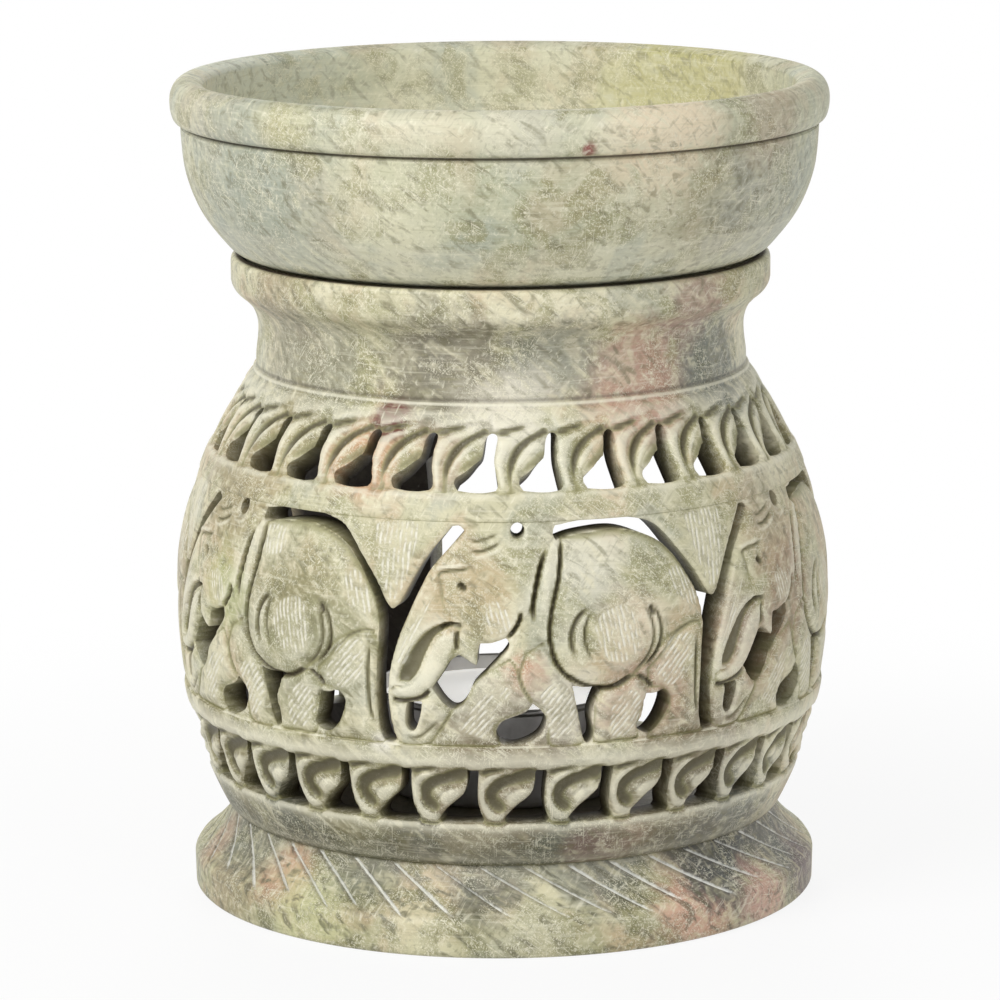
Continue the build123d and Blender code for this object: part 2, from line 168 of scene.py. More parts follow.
class Carving:
    """A patch of wall under the chisel: how deep each place lies and how it is finished.

    Attributes:
        x: place along the wall, in millimetres round the belly.
        z: height above the ground.
        depth: millimetres from the turned surface, negative into the stone.
        stone: distance to the nearest pierced gap, negative in a gap.
        grime: how dark a hollow is, from 0 to 1; soiling and painted shade.
        hatch: where saw lines are cut, from 0 to 1.
        strokes: which saw line a place lies on.
    """

    layers = ("depth", "stone", "grime", "hatch", "strokes")
    no_gap = 50.0

    def __init__(self, x: Array, z: Array) -> None:
        """Start from bare turned stone.

        Args:
            x: places along the wall.
            z: their heights.
        """
        self.x = x
        self.z = z
        self.depth = np.zeros(x.shape)
        self.stone = np.full(x.shape, self.no_gap)
        self.grime = np.zeros(x.shape)
        self.hatch = np.zeros(x.shape)
        self.strokes = np.zeros(x.shape)

    def _near(self, points: Array, reach: float) -> tuple[slice, slice] | None:
        """The part of the patch round some points.

        Args:
            points: places on the wall.
            reach: margin round them.

        Returns:
            Rows and columns, or None if the points lie off the patch.
        """
        low, high = points.min(0) - reach, points.max(0) + reach
        rows = np.flatnonzero((self.z[:, 0] >= low[1]) & (self.z[:, 0] <= high[1]))
        columns = np.flatnonzero((self.x[0] >= low[0]) & (self.x[0] <= high[0]))
        if not len(rows) or not len(columns):
            return None
        return slice(rows[0], rows[-1] + 1), slice(columns[0], columns[-1] + 1)

    def pierce(self, outline: Outline) -> None:
        """Cut a gap right through.

        Args:
            outline: the gap's outline.
        """
        edge = outline_through(outline)
        part = self._near(edge, 8)
        if part:
            distance = -inside_distance(edge, self.x[part], self.z[part])
            self.stone[part] = np.minimum(self.stone[part], distance)

    def mound(self, outline: Side, edge: float, crown: float, roll: float, soft: float = 0.2) -> None:
        """Shape a rounded form.

        Args:
            outline: the form's outline.
            edge: depth at its outline.
            crown: depth at its middle.
            roll: width of its rounded border.
            soft: how softly it meets what is round it.
        """
        points = loop_through(outline)
        part = self._near(points, 1)
        if not part:
            return
        distance = inside_distance(points, self.x[part], self.z[part])
        share = np.clip(distance / roll, 0, 1)
        form = edge + (crown - edge) * np.sqrt(1 - (1 - share) ** 2)
        self.depth[part] = blend(self.depth[part], form, smooth(-soft, soft, distance))

    def facet(self, outline: Side, crest: Side, start: float, fall: float) -> None:
        """Cut a flat slope inside an outline.

        Args:
            outline: the facet's outline.
            crest: the line from which it falls.
            start: depth at the crest.
            fall: fall for each millimetre from the crest.
        """
        points = loop_through(outline)
        part = self._near(points, 1)
        if not part:
            return
        x, z = self.x[part], self.z[part]
        away, _ = line_distance(curve_through(crest), x, z)
        share = smooth(-0.12, 0.12, inside_distance(points, x, z))
        self.depth[part] = blend(self.depth[part], start - fall * away, share)

    def groove(self, line: Side, depth: float, width: float, ends: float = 0.15, grime: float = 1.0) -> None:
        """Cut a groove, or raise a ridge where depth is negative.

        Args:
            line: the groove's middle line.
            depth: how deep it is.
            width: half its width.
            ends: share of its length over which each end fades.
            grime: how dark its bottom is; soiling and painted shade.
        """
        points = curve_through(line)
        part = self._near(points, 3 * width)
        if not part:
            return
        away, along = line_distance(points, self.x[part], self.z[part])
        fade = smooth(0, ends, along) * smooth(0, ends, 1 - along) if ends else 1.0
        section = np.clip(1 - (away / width) ** 2, 0, 1) ** 1.5 * fade
        self.depth[part] -= depth * section
        if depth > 0:
            self.grime[part] = np.maximum(self.grime[part], grime * section**0.7)

    def hatching(self, outline: Side, lean: float, spacing: float) -> None:
        """Saw short parallel lines.

        Args:
            outline: where the lines are.
            lean: their direction in degrees, 90 upright.
            spacing: from one line to the next.
        """
        points = loop_through(outline)
        part = self._near(points, 2)
        if not part:
            return
        x, z = self.x[part], self.z[part]
        distance = inside_distance(points, x, z)
        across = x * math.sin(math.radians(lean)) - z * math.cos(math.radians(lean))
        chosen = distance > -1.5
        self.strokes[part] = np.where(chosen, across / spacing, self.strokes[part])
        self.hatch[part] = np.where(chosen, smooth(-0.5, 0.5, distance), self.hatch[part])

    def soften_arrises(self, radius: float, drop: float) -> None:
        """Round the stone over at the edge of each gap."""
        share = np.clip(1 - self.stone / radius, 0, 1)
        self.depth -= drop * (1 - np.sqrt(1 - np.minimum(share, 1) ** 2 * 0.999))

    def relief_wear_and_shading(self) -> Array:
        """How proud or hollow each place is beside what is round it, with a rise at the edges of the gaps.

        Returns:
            Values from -1, hollow, to 1, proud.
        """
        fine_rounds, broad_rounds, deepest = 8, 60, -2.0
        fine = self.levelled(np.maximum(self.depth, deepest), fine_rounds)
        broad = self.levelled(fine, broad_rounds)
        # The edges of the gaps come out proud here, so they turn pale: partly rubbing, partly painted
        # highlight.
        edge_wear_and_highlight = np.exp(-(((self.stone - 0.3) / 0.3) ** 2)) * 0.35
        return np.clip((self.depth - fine) * 3.5 + (fine - broad) * 2.2 + edge_wear_and_highlight, -1, 1)

    @staticmethod
    def levelled(level: Array, times: int) -> Array:
        """Blur a surface.

        Args:
            level: the surface, whose last column meets its first.
            times: how many times it is blurred.

        Returns:
            The blurred surface.
        """
        for _ in range(times):
            padded = np.pad(level, ((1, 1), (0, 0)), mode="edge")
            padded = np.pad(padded, ((0, 0), (1, 1)), mode="wrap")
            sides = padded[:-2, 1:-1] + padded[2:, 1:-1] + padded[1:-1, :-2] + padded[1:-1, 2:]
            level = (sides + 2 * level) / 6
        return level


# Shader building


class Socket:
    """A value, colour or vector of a material, on which sums can be written."""

    def __init__(self, board: "Board", link: bpy.types.NodeSocket) -> None:
        """Wrap a node's output."""
        self.board = board
        self.link = link

    def _sum(self, operation: str, first: "Value", second: "Value" = 0.0) -> "Socket":
        """One Math node."""
        return self.board.node("ShaderNodeMath", {"operation": operation}, {0: first, 1: second})

    def __add__(self, other: "Value") -> "Socket":
        """This plus other."""
        return self._sum("ADD", self, other)

    __radd__ = __add__

    def __mul__(self, other: "Value") -> "Socket":
        """This times other."""
        return self._sum("MULTIPLY", self, other)

    __rmul__ = __mul__

    def __sub__(self, other: "Value") -> "Socket":
        """This less other."""
        return self._sum("SUBTRACT", self, other)

    def __rsub__(self, other: "Value") -> "Socket":
        """Other less this."""
        return self._sum("SUBTRACT", other, self)

    def __abs__(self) -> "Socket":
        """This without its sign."""
        return self._sum("ABSOLUTE", self)

    def most(self, other: "Value") -> "Socket":
        """The larger of this and other."""
        return self._sum("MAXIMUM", self, other)

    def part(self) -> "Socket":
        """What is left of this above a whole number."""
        return self._sum("FRACT", self)

    def step(self, low: float, high: float) -> "Socket":
        """Soft step from 0 at low to 1 at high; low may be the larger."""
        sockets = {"Value": self, "From Min": low, "From Max": high, "To Min": 0.0, "To Max": 1.0}
        return self.board.node("ShaderNodeMapRange", {"interpolation_type": "SMOOTHSTEP"}, sockets)


Value = Socket | float


class Board:
    """A node tree on which a finish is laid out."""

    def __init__(self, tree: bpy.types.NodeTree) -> None:
        """Clear the tree."""
        self.tree = tree
        tree.nodes.clear()

    def node(
        self, kind: str, settings: dict | None = None, sockets: dict | None = None, output: int | str = 0
    ) -> Socket:
        """Place one node.

        Args:
            kind: the node's type.
            settings: its properties, and "stops" for a ramp's places and colours.
            sockets: values or Sockets by input name or number.
            output: which output to hand back.

        Returns:
            The output, or the first input of a node that has no output.
        """
        made = self.tree.nodes.new(kind)
        for name, value in (settings or {}).items():
            if name == "stops":
                ramp = made.color_ramp.elements
                while len(ramp) < len(value):
                    ramp.new(1.0)
                for stop, (place, colour) in zip(ramp, value):
                    stop.position, stop.color = place, (*colour, 1.0)
            else:
                setattr(made, name, value)
        for name, value in (sockets or {}).items():
            if isinstance(value, Socket):
                self.tree.links.new(value.link, made.inputs[name])
            elif isinstance(value, tuple) and made.inputs[name].type == "RGBA" and len(value) == 3:
                made.inputs[name].default_value = (*value, 1.0)
            else:
                made.inputs[name].default_value = value
        return Socket(self, made.outputs[output]) if made.outputs else Socket(self, made.inputs[0])

    def noise(self, size: float, detail: float = 3.0, rough: float = 0.55, bend: float = 0.0,
              at: Socket | None = None) -> Socket:
        """Cloudy noise.

        Args:
            size: its size in millimetres.
            detail: how many finer layers it has.
            rough: how strong they are.
            bend: how distorted it is.
            at: the places to read it at.

        Returns:
            A value about 0.5.
        """
        sockets = {"Scale": 1 / (size * MM), "Detail": detail, "Roughness": rough, "Distortion": bend}
        sockets["Vector"] = at if at else self.places()
        return self.node("ShaderNodeTexNoise", {}, sockets)

    def strokes(self, length: float, width: float, slope: float, heading: float = 0.0, detail: float = 0.0,
                rough: float = 0.5) -> Socket:
        """Noise drawn out along one direction.

        Args:
            length: length of its strokes in millimetres.
            width: their width.
            slope: how steeply they run, in degrees.
            heading: the way they run, in degrees about Z.
            detail: how many finer layers it has.
            rough: how strong they are.

        Returns:
            A value about 0.5.
        """
        sockets = {
            "Vector": self.places(),
            "Rotation": (0.0, math.radians(slope), math.radians(heading)),
            "Scale": (length * MM, width * MM, width * MM),
        }
        at = self.node("ShaderNodeMapping", {"vector_type": "TEXTURE"}, sockets)
        sockets = {"Vector": at, "Scale": 1.0, "Detail": detail, "Roughness": rough, "Distortion": 0.5}
        return self.node("ShaderNodeTexNoise", {}, sockets)

    def places(self) -> Socket:
        """Places in the object's own frame, in metres."""
        return self.node("ShaderNodeTexCoord", {}, {}, "Object")

    def stretched(self, across: float, upwards: float, turn: float = 0.0) -> Socket:
        """Places scaled for streaks.

        Args:
            across: scale level with the ground.
            upwards: scale along Z.
            turn: tilt about X and Y in degrees.

        Returns:
            The scaled places.
        """
        angle = math.radians(turn)
        sockets = {
            "Vector": self.places(),
            "Rotation": (angle, angle / 2, 0.0),
            "Scale": (across, across, upwards),
        }
        return self.node("ShaderNodeMapping", {}, sockets)

    def mark(self, name: str) -> Socket:
        """A value stored on the mesh."""
        return self.node("ShaderNodeAttribute", {"attribute_name": name}, {}, "Fac")

    def mix(self, share: Socket | float, first: Socket | Colour, second: Socket | Colour) -> Socket:
        """Mix two colours."""
        settings = {"data_type": "RGBA", "clamp_factor": True}
        return self.node("ShaderNodeMix", settings, {0: share, 6: first, 7: second}, 2)

    def bump(self, height: Socket, strength: float, depth: float) -> Socket:
        """Fine relief, its depth in millimetres."""
        sockets = {"Strength": strength, "Distance": depth * MM, "Height": height}
        return self.node("ShaderNodeBump", {}, sockets)


def srgb(*levels: int) -> Colour:
    """A colour as it looks on a screen, in the light values that a shader takes."""
    shares = [level / 255 for level in levels]
    return tuple(s / 12.92 if s <= 0.04045 else ((s + 0.055) / 1.055) ** 2.4 for s in shares)


@dataclass(frozen=True)
class Finish:
    """A finish of one of the burner's pieces.

    Attributes:
        name: the material's name.
    """

    name: str

    def material(self) -> bpy.types.Material:
        """Make the finish's material.

        Returns:
            A new material.
        """
        made = bpy.data.materials.new(self.name)
        made.use_nodes = True
        board = Board(made.node_tree)
        board.node("ShaderNodeOutputMaterial", {}, {"Surface": self.surface(board)})
        return made

    def surface(self, board: Board) -> Socket:
        """Lay out the finish on a board and hand back its shader."""
        raise NotImplementedError


@dataclass(frozen=True)
class Stain:
    """A patch of another colour in the stone.

    Attributes:
        azimuth: where it is, in degrees.
        radius: how far from the axis its middle is, in millimetres.
        z: its height.
        size: its radius.
        colour: its colour on a screen.
        strength: how much of it covers the stone.
    """

    azimuth: float
    radius: float
    z: float
    size: float
    colour: Screen
    strength: float

    def middle(self) -> Place:
        """Its middle in metres."""
        angle = math.radians(self.azimuth)
        return (self.radius * math.sin(angle) * MM, -self.radius * math.cos(angle) * MM, self.z * MM)


@dataclass(frozen=True)
class Soapstone(Finish):
    """Mottled soapstone with a felt of pale fibres, rubbed smooth.

    Attributes:
        ground: its main colour.
        pale: the colour of its light clouds.
        olive: the colour of its green blotches, and of its hollows, where it is partly painted shade.
        dark: the colour of its darkest flecks.
        buff: the colour of its warm clouds.
        cool: the colour of its blue-grey clouds.
        grime: the colour of soiling and of painted shade in the hollows.
        scratch: the colour of fibres and of rubbed edges, which are partly painted highlight.
        cut: the colour of saw lines and engraved rays.
        coolness: how much of it is blue-grey.
        warmth: how much of it is buff.
        mottled: how strong its blotches are.
        stains: patches placed one by one.
        turned: how strongly the lathe's lines show.
        roughness: how matt it is.
    """

    ground: Colour = srgb(190, 186, 151)
    pale: Colour = srgb(222, 216, 186)
    olive: Colour = srgb(144, 141, 96)
    dark: Colour = srgb(106, 102, 70)
    buff: Colour = srgb(194, 168, 134)
    cool: Colour = srgb(156, 161, 148)
    grime: Colour = srgb(50, 38, 24)
    scratch: Colour = srgb(236, 232, 210)
    cut: Colour = srgb(238, 235, 220)
    coolness: float = 0.5
    warmth: float = 0.6
    mottled: float = 1.0
    stains: tuple[Stain, ...] = ()
    turned: float = 0.25
    roughness: float = 0.5

    def surface(self, board: Board) -> Socket:
        """Lay out the stone: clouds, stains, flecks and felt, then rubbing and soiling with painted
        highlight and shade, and saw lines.

        Args:
            board: the material's board.

        Returns:
            The stone's shader.
        """
        zones = board.noise(28, 2, 0.5, 0.6)
        drift = board.noise(15, 3, 0.55, 0.4, board.stretched(1.2, 0.9))
        blotches = board.noise(6.5, 3, 0.6, 0.7)
        dabs = board.strokes(4.6, 1.3, 38, 15, 2, 0.55)
        flecks = board.strokes(3.4, 0.6, -40, 70, 2, 0.6)
        streaks = board.noise(0.9, 3, 0.65, 0.2, board.stretched(0.14, 2.0))
        felt = self._felt(board) * blotches.step(0.42, 0.58)

        colour = board.mix(zones.step(0.4, 0.6), self.ground, self.pale)
        colour = board.mix(drift.step(0.5, 0.62) * self.warmth, colour, self.buff)
        colour = board.mix(drift.step(0.48, 0.38) * self.coolness, colour, self.cool)
        colour = board.mix(blotches.step(0.48, 0.63) * self.mottled * 0.7, colour, self.olive)
        for stain in self.stains:
            colour = self._stained(board, colour, stain, blotches, dabs)
        colour = board.mix(blotches.step(0.44, 0.3) * 0.4, colour, self.pale)
        colour = board.mix(dabs.step(0.5, 0.3) * self.mottled * 0.55, colour, self.dark)
        colour = board.mix(dabs.step(0.52, 0.72) * 0.5, colour, self.pale)
        colour = board.mix(flecks.step(0.46, 0.28) * self.mottled * 0.3, colour, self.dark)
        colour = board.mix(flecks.step(0.55, 0.74) * 0.45, colour, self.scratch)
        colour = board.mix(streaks.step(0.54, 0.68) * self.turned, colour, self.scratch)
        colour = board.mix(streaks.step(0.44, 0.3) * self.turned, colour, self.olive)
        colour = board.mix(felt * 0.6, colour, self.scratch)

        wear = board.mark("wear")
        stripes = self._saw_lines(board).most(self._scratches(board))
        # Proud places and the edges of the gaps turn pale, partly rubbing and partly painted highlight;
        # hollows and inner faces turn olive and dark, partly soiling and partly painted shade.
        colour = board.mix(wear.step(0.06, 0.7) * 0.55, colour, self.scratch)
        colour = board.mix(wear.step(-0.06, -0.6) * 0.72, colour, self.olive)
        colour = board.mix(wear.step(-0.38, -1.05) * 0.55, colour, self.grime)
        colour = board.mix(board.mark("grime") * (0.75 + dabs * 0.3), colour, self.grime)
        colour = board.mix(board.mark("hatch") * 0.28, colour, self.pale)
        colour = board.mix(stripes * 0.8, colour, self.cut)

        relief = dabs * 0.35 + flecks * 0.15 + felt * 0.2 + streaks * self.turned * 0.6 - stripes * 1.6
        sockets = {
            "Base Color": colour,
            "Roughness": dabs * 0.25 + stripes * 0.15 + (self.roughness - 0.12),
            "Normal": board.bump(relief, 0.55, 0.12),
            "IOR": 1.5,
        }
        return board.node("ShaderNodeBsdfPrincipled", {}, sockets)

    def _felt(self, board: Board) -> Socket:
        """Short thin fibres that lie every way through the stone.

        Args:
            board: the material's board.

        Returns:
            1 on a fibre, else 0.
        """
        ways = ((20, 35), (-30, -50), (70, 10), (110, 65), (150, -25))
        layers = [board.strokes(4.4, 0.19, slope, heading).step(0.67, 0.78) for heading, slope in ways]
        felt = layers[0]
        for layer in layers[1:]:
            felt = felt.most(layer)
        return felt

    def _saw_lines(self, board: Board) -> Socket:
        """Saw lines, brightest at their bottoms and broken here and there.

        Args:
            board: the material's board.

        Returns:
            1 on a line, else 0.
        """
        wobble = board.noise(2.2, 2) * 0.7
        across = (board.mark("strokes") + wobble).part()
        line = abs(across - 0.5).step(0.36, 0.12)
        return line * board.mark("hatch").step(0.3, 0.8) * board.noise(1.1, 3).step(0.34, 0.62)

    def _scratches(self, board: Board) -> Socket:
        """Single cuts, rough at their edges."""
        return (board.mark("scratch") + board.noise(0.8, 3) * 1.3 - 0.68).step(0.12, 0.95)

    def _stained(self, board: Board, colour: Socket, stain: Stain, blotches: Socket, dabs: Socket) -> Socket:
        """Lay a stain over a colour, with a ragged edge.

        Args:
            board: the material's board.
            colour: the colour so far.
            stain: the stain.
            blotches: noise that breaks its edge up broadly.
            dabs: noise that breaks it up finely.

        Returns:
            The stained colour.
        """
        ends = {0: board.places(), 1: stain.middle()}
        away = board.node("ShaderNodeVectorMath", {"operation": "DISTANCE"}, ends, "Value")
        ragged = away * (1 / (stain.size * MM)) + blotches * 1.3 + dabs * 0.7 - 1.0
        return board.mix(ragged.step(1.1, 0.4) * stain.strength, colour, srgb(*stain.colour))


@dataclass(frozen=True)
class DrawnMetal(Finish):
    """Thin bright metal, drawn and a little scuffed."""

    colour: Colour = srgb(205, 203, 200)
    scuffed: Colour = srgb(170, 166, 162)
    roughness: float = 0.32

    def surface(self, board: Board) -> Socket:
        """Lay out the metal.

        Args:
            board: the material's board.

        Returns:
            The metal's shader.
        """
        lines = board.noise(0.6, 3, 0.6, 0.0, board.stretched(0.12, 2.5))
        scuffs = board.noise(3.5, 4, 0.6)
        sockets = {
            "Base Color": board.mix(scuffs.step(0.4, 0.7) * 0.3, self.colour, self.scuffed),
            "Metallic": 0.75,
            "Roughness": lines * 0.2 + scuffs * 0.15 + (self.roughness - 0.15),
            "Normal": board.bump(lines + scuffs * 0.4, 0.3, 0.04),
        }
        return board.node("ShaderNodeBsdfPrincipled", {}, sockets)


@dataclass(frozen=True)
class GlowingCandleWax(Finish):
    """White wax with a soft, slightly uneven top, glowing a little: painted light."""

    colour: Colour = srgb(250, 249, 244)
    cloudy: Colour = srgb(243, 241, 232)

    def surface(self, board: Board) -> Socket:
        """Lay out the wax.

        Args:
            board: the material's board.

        Returns:
            The wax's shader.
        """
        frost = board.noise(1.8, 4, 0.6)
        cloud = board.noise(9, 2)
        sockets = {
            "Base Color": board.mix(cloud.step(0.4, 0.7) * 0.4, self.colour, self.cloudy),
            "Roughness": frost * 0.2 + 0.35,
            "Normal": board.bump(frost + cloud, 0.3, 0.08),
            "Subsurface Weight": 0.25,
            "Subsurface Radius": (2 * MM, 1.8 * MM, 1.5 * MM),
            "Subsurface Scale": 1.0,
            # The wax glows, though the candle is not lit: painted light.
            "Emission Color": (1.0, 0.99, 0.96),
            "Emission Strength": 0.5,
        }
        return board.node("ShaderNodeBsdfPrincipled", {}, sockets)


@dataclass(frozen=True)
class WaxedCotton(Finish):
    """Plaited cotton, stiff with wax."""

    colour: Colour = srgb(236, 230, 214)
    shaded: Colour = srgb(214, 204, 182)

    def surface(self, board: Board) -> Socket:
        """Lay out the cotton.

        Args:
            board: the material's board.

        Returns:
            The cotton's shader.
        """
        threads = board.noise(0.25, 3, 0.6, 0.0, board.stretched(1.0, 0.4, 30))
        sockets = {
            "Base Color": board.mix(threads.step(0.35, 0.65), self.shaded, self.colour),
            "Roughness": threads * 0.2 + 0.6,
            "Normal": board.bump(threads, 0.5, 0.05),
        }
        return board.node("ShaderNodeBsdfPrincipled", {}, sockets)


@dataclass(frozen=True)
class WhiteFloor(Finish):
    """A floor that shows white, as the background does, and keeps the burner's shadow.

    Attributes:
        colour: its colour under the lamps.
        glow: how much of its white near the burner is its own.
    """

    colour: Colour = (0.8, 0.8, 0.8)
    glow: float = 0.88

    def surface(self, board: Board) -> Socket:
        """Lay out the floor.

        Args:
            board: the material's board.

        Returns:
            The floor's shader.
        """
        matt = board.node("ShaderNodeBsdfDiffuse", {}, {"Color": self.colour})
        white = board.node("ShaderNodeEmission", {}, {"Color": (1.0, 1.0, 1.0), "Strength": 1.0})
        away = board.node("ShaderNodeVectorMath", {"operation": "LENGTH"}, {0: board.places()}, "Value")
        share = seen_directly(board) * (self.glow + away.step(0.05, 0.2) * (1 - self.glow))
        return board.node("ShaderNodeMixShader", {}, {0: share, 1: matt, 2: white})


def seen_directly(board: Board) -> Socket:
    """Find where the camera, a reflection or something clear looks at a surface.

    Args:
        board: the board of a material or of the world.

    Returns:
        1 there, else 0.
    """
    kinds = ("Is Camera Ray", "Is Glossy Ray", "Is Transmission Ray")
    rays = [board.node("ShaderNodeLightPath", {}, {}, kind) for kind in kinds]
    return rays[0].most(rays[1]).most(rays[2])


# Finishes of this burner's stones

PINK = (180, 132, 120)
SLATE = (90, 96, 94)
MAUVE = (156, 122, 114)
BROWN = (138, 120, 96)
DIM = (74, 78, 66)

BOWL_STONE = Soapstone(
    "bowl_soapstone",
    ground=srgb(182, 184, 156),
    pale=srgb(208, 206, 178),
    cool=srgb(160, 168, 156),
    warmth=0.35,
    stains=(
        Stain(-33, 45, 106, 20, (160, 166, 154), 0.65),
        Stain(62, 45, 105, 12, (160, 140, 112), 0.35),
        Stain(46, 46, 107, 7, (212, 204, 174), 0.5),
        Stain(0, 46, 107, 9, (218, 214, 182), 0.45),
        Stain(75, 45, 104, 14, (158, 160, 150), 0.5),
        Stain(33.5, 47.6, 114.6, 1.2, (130, 44, 38), 1.0),
        Stain(72, 47, 117, 8, (172, 146, 120), 0.5),
        Stain(6, 47, 117, 6, (216, 210, 184), 0.5),
        Stain(22, 47, 117, 7, (218, 212, 190), 0.5),
        Stain(48, 47, 117, 10, (234, 216, 186), 0.75),
        Stain(-20, 47, 117, 6, (196, 190, 140), 0.5),
        Stain(158, 42, 112, 18, (190, 184, 120), 0.85),
        # This stain pales the inside of the bowl: the stone's cool grey, and partly painted light on the
        # shaded inside.
        Stain(-100, 40, 110, 24, (200, 206, 192), 0.8),
        Stain(-5, 20, 97, 20, (200, 200, 182), 0.6),
    ),
)
POT_STONE = Soapstone(
    "pot_soapstone",
    stains=(
        Stain(52, 36, 80, 10.5, PINK, 0.7),
        Stain(76, 36, 80, 10, SLATE, 0.8),
        Stain(65, 40, 89, 8, MAUVE, 0.7),
        Stain(-42, 38, 84, 9, BROWN, 0.35),
        Stain(-36, 39, 91, 8, (160, 142, 112), 0.6),
        Stain(-30, 36, 80, 14, (144, 142, 124), 0.75),
        Stain(8, 36, 82, 13, (114, 108, 92), 0.85),
        Stain(30, 36, 84, 9, SLATE, 0.6),
        Stain(24, 37, 78.5, 6, (226, 220, 204), 0.5),
        Stain(18, 38, 75.6, 8, (238, 232, 214), 0.65),
        Stain(29, 48, 36, 7, (234, 230, 212), 0.8),
        Stain(50, 42, 13, 8, (92, 86, 80), 0.8),
        Stain(-30, 43, 72, 10, (160, 146, 98), 0.65),
        Stain(6, 42, 71, 6, (206, 176, 146), 0.5),
        Stain(-56, 44, 69, 8, (168, 136, 104), 0.4),
        Stain(66, 43, 71, 8, (160, 154, 104), 0.5),
        Stain(79, 48, 48, 10, (140, 100, 82), 0.6),
        Stain(74, 47, 62, 8, (150, 142, 120), 0.5),
        Stain(22, 48, 41.5, 4, (206, 150, 126), 0.7),
        Stain(44, 48, 37, 9, (168, 132, 116), 0.6),
        Stain(34, 48, 58, 8, (222, 218, 200), 0.65),
        Stain(41, 48, 49, 6, (224, 208, 184), 0.65),
        Stain(14, 48, 52, 8, (176, 160, 118), 0.55),
        Stain(1, 48, 47, 5, (150, 150, 106), 0.6),
        Stain(19, 48, 37, 7, (226, 220, 196), 0.5),
        Stain(-20, 48, 46, 15, (128, 126, 86), 0.8),
        Stain(-24, 48, 58, 6, (206, 204, 176), 0.4),
        Stain(-40, 46, 64, 11, (150, 132, 92), 0.7),
        Stain(-38, 48, 50, 7, (172, 178, 110), 0.5),
        Stain(-62, 48, 48, 10, (170, 142, 112), 0.45),
        Stain(66, 48, 42, 9, (176, 150, 128), 0.5),
        Stain(62, 48, 47, 6, (134, 98, 86), 0.45),
        Stain(-2.5, 47, 31, 2.2, (236, 232, 220), 0.9),
        Stain(20, 47.5, 29, 14, (116, 100, 84), 0.7),
        Stain(58, 47, 29, 10, (130, 108, 96), 0.65),
        Stain(-36, 47, 29, 10, (150, 146, 108), 0.5),
        Stain(-52, 42, 14, 14, DIM, 0.85),
        Stain(-24, 42, 13, 15, DIM, 0.9),
        Stain(4, 42, 13, 14, DIM, 0.9),
        Stain(28, 42, 13.5, 13, DIM, 0.9),
        Stain(66, 42, 14, 14, SLATE, 0.85),
        Stain(44, 42, 17.3, 4, (182, 150, 136), 0.65),
        Stain(37, 42, 14.5, 6, (130, 98, 92), 0.6),
        Stain(12, 43, 18, 5, (206, 200, 172), 0.4),
        Stain(-44, 45, 24, 11, (126, 116, 74), 0.75),
        Stain(-12, 45, 24, 12, (132, 124, 84), 0.75),
        Stain(16, 45, 24, 12, (132, 118, 88), 0.7),
        Stain(50, 45, 24, 13, (120, 110, 80), 0.75),
        Stain(-10, 42.5, 70.5, 7, (192, 134, 92), 0.75),
        Stain(-5.4, 37.9, 75.4, 3.4, (96, 14, 16), 1.0),
    ),
)
FOOT_STONE = Soapstone(
    "foot_soapstone",
    ground=srgb(168, 165, 128),
    pale=srgb(212, 206, 172),
    olive=srgb(122, 120, 78),
    dark=srgb(84, 82, 56),
    cut=srgb(240, 240, 234),
    mottled=1.25,
    stains=(
        Stain(-28, 44, 8.5, 7, (190, 142, 116), 0.75),
        Stain(-58, 44, 9, 6, (176, 134, 110), 0.6),
        Stain(-42, 46, 4, 8, (146, 136, 104), 0.6),
        Stain(-20, 46, 4, 9, (200, 200, 150), 0.65),
        Stain(3, 46, 3, 7, (214, 210, 176), 0.6),
        Stain(14, 45, 7.5, 6, (96, 96, 72), 0.6),
        Stain(-6, 44, 8.5, 5, (112, 110, 74), 0.5),
        Stain(24, 46, 3, 8, (206, 202, 172), 0.55),
        Stain(40, 41, 11.5, 9, SLATE, 0.75),
        Stain(16, 41, 11.5, 8, SLATE, 0.6),
        Stain(-10, 41, 12, 8, DIM, 0.6),
        Stain(-44, 41, 12, 10, DIM, 0.6),
        Stain(56, 46, 5, 9, (206, 158, 138), 0.8),
        Stain(66, 42, 11, 12, (52, 58, 60), 0.95),
        Stain(90, 42, 10, 13, (84, 90, 92), 0.85),
        Stain(74, 46, 4, 7, (210, 162, 148), 0.7),
        Stain(94, 46, 3.5, 8, (110, 84, 92), 0.7),
    ),
)


# Mesh building

CREASE = math.radians(38)
MARKS = ("wear", "grime", "hatch", "strokes", "scratch")
# The pot's inner faces are painted dark: painted shade inside the pot.
INNER_FACE_SHADE = {"grime": 1.1, "wear": -0.4}


def place_piece(name: str, points: Array, faces: list, marks: Marks) -> Piece:
    """Make a mesh object, smooth but for the edges past the crease angle.

    Args:
        name: the piece's name.
        points: places in millimetres.
        faces: the faces' corners.
        marks: values stored on the points.

    Returns:
        The object, in the scene.
    """
    mesh = bpy.data.meshes.new(name)
    mesh.from_pydata((points * MM).tolist(), [], faces)
    mesh.validate()
    for mark, values in marks.items():
        layer = mesh.attributes.new(mark, "FLOAT", "POINT")
        layer.data.foreach_set("value", np.asarray(values, np.float32))
    mesh.shade_smooth()
    mesh.set_sharp_from_angle(angle=CREASE)
    piece = bpy.data.objects.new(name, mesh)
    bpy.context.scene.collection.objects.link(piece)
    return piece


def round_points(azimuth: Array, radius: Array, height: Array) -> Array:
    """Places from azimuths in radians, radii and heights."""
    return np.stack([radius * np.sin(azimuth), -radius * np.cos(azimuth), height], -1)


@dataclass
class Skin:
    """The points of a turned piece.

    Attributes:
        azimuth: their azimuths.
        radius: their radii.
        height: their heights.
        marks: values stored on them.
    """

    azimuth: Array
    radius: Array
    height: Array
    marks: Marks


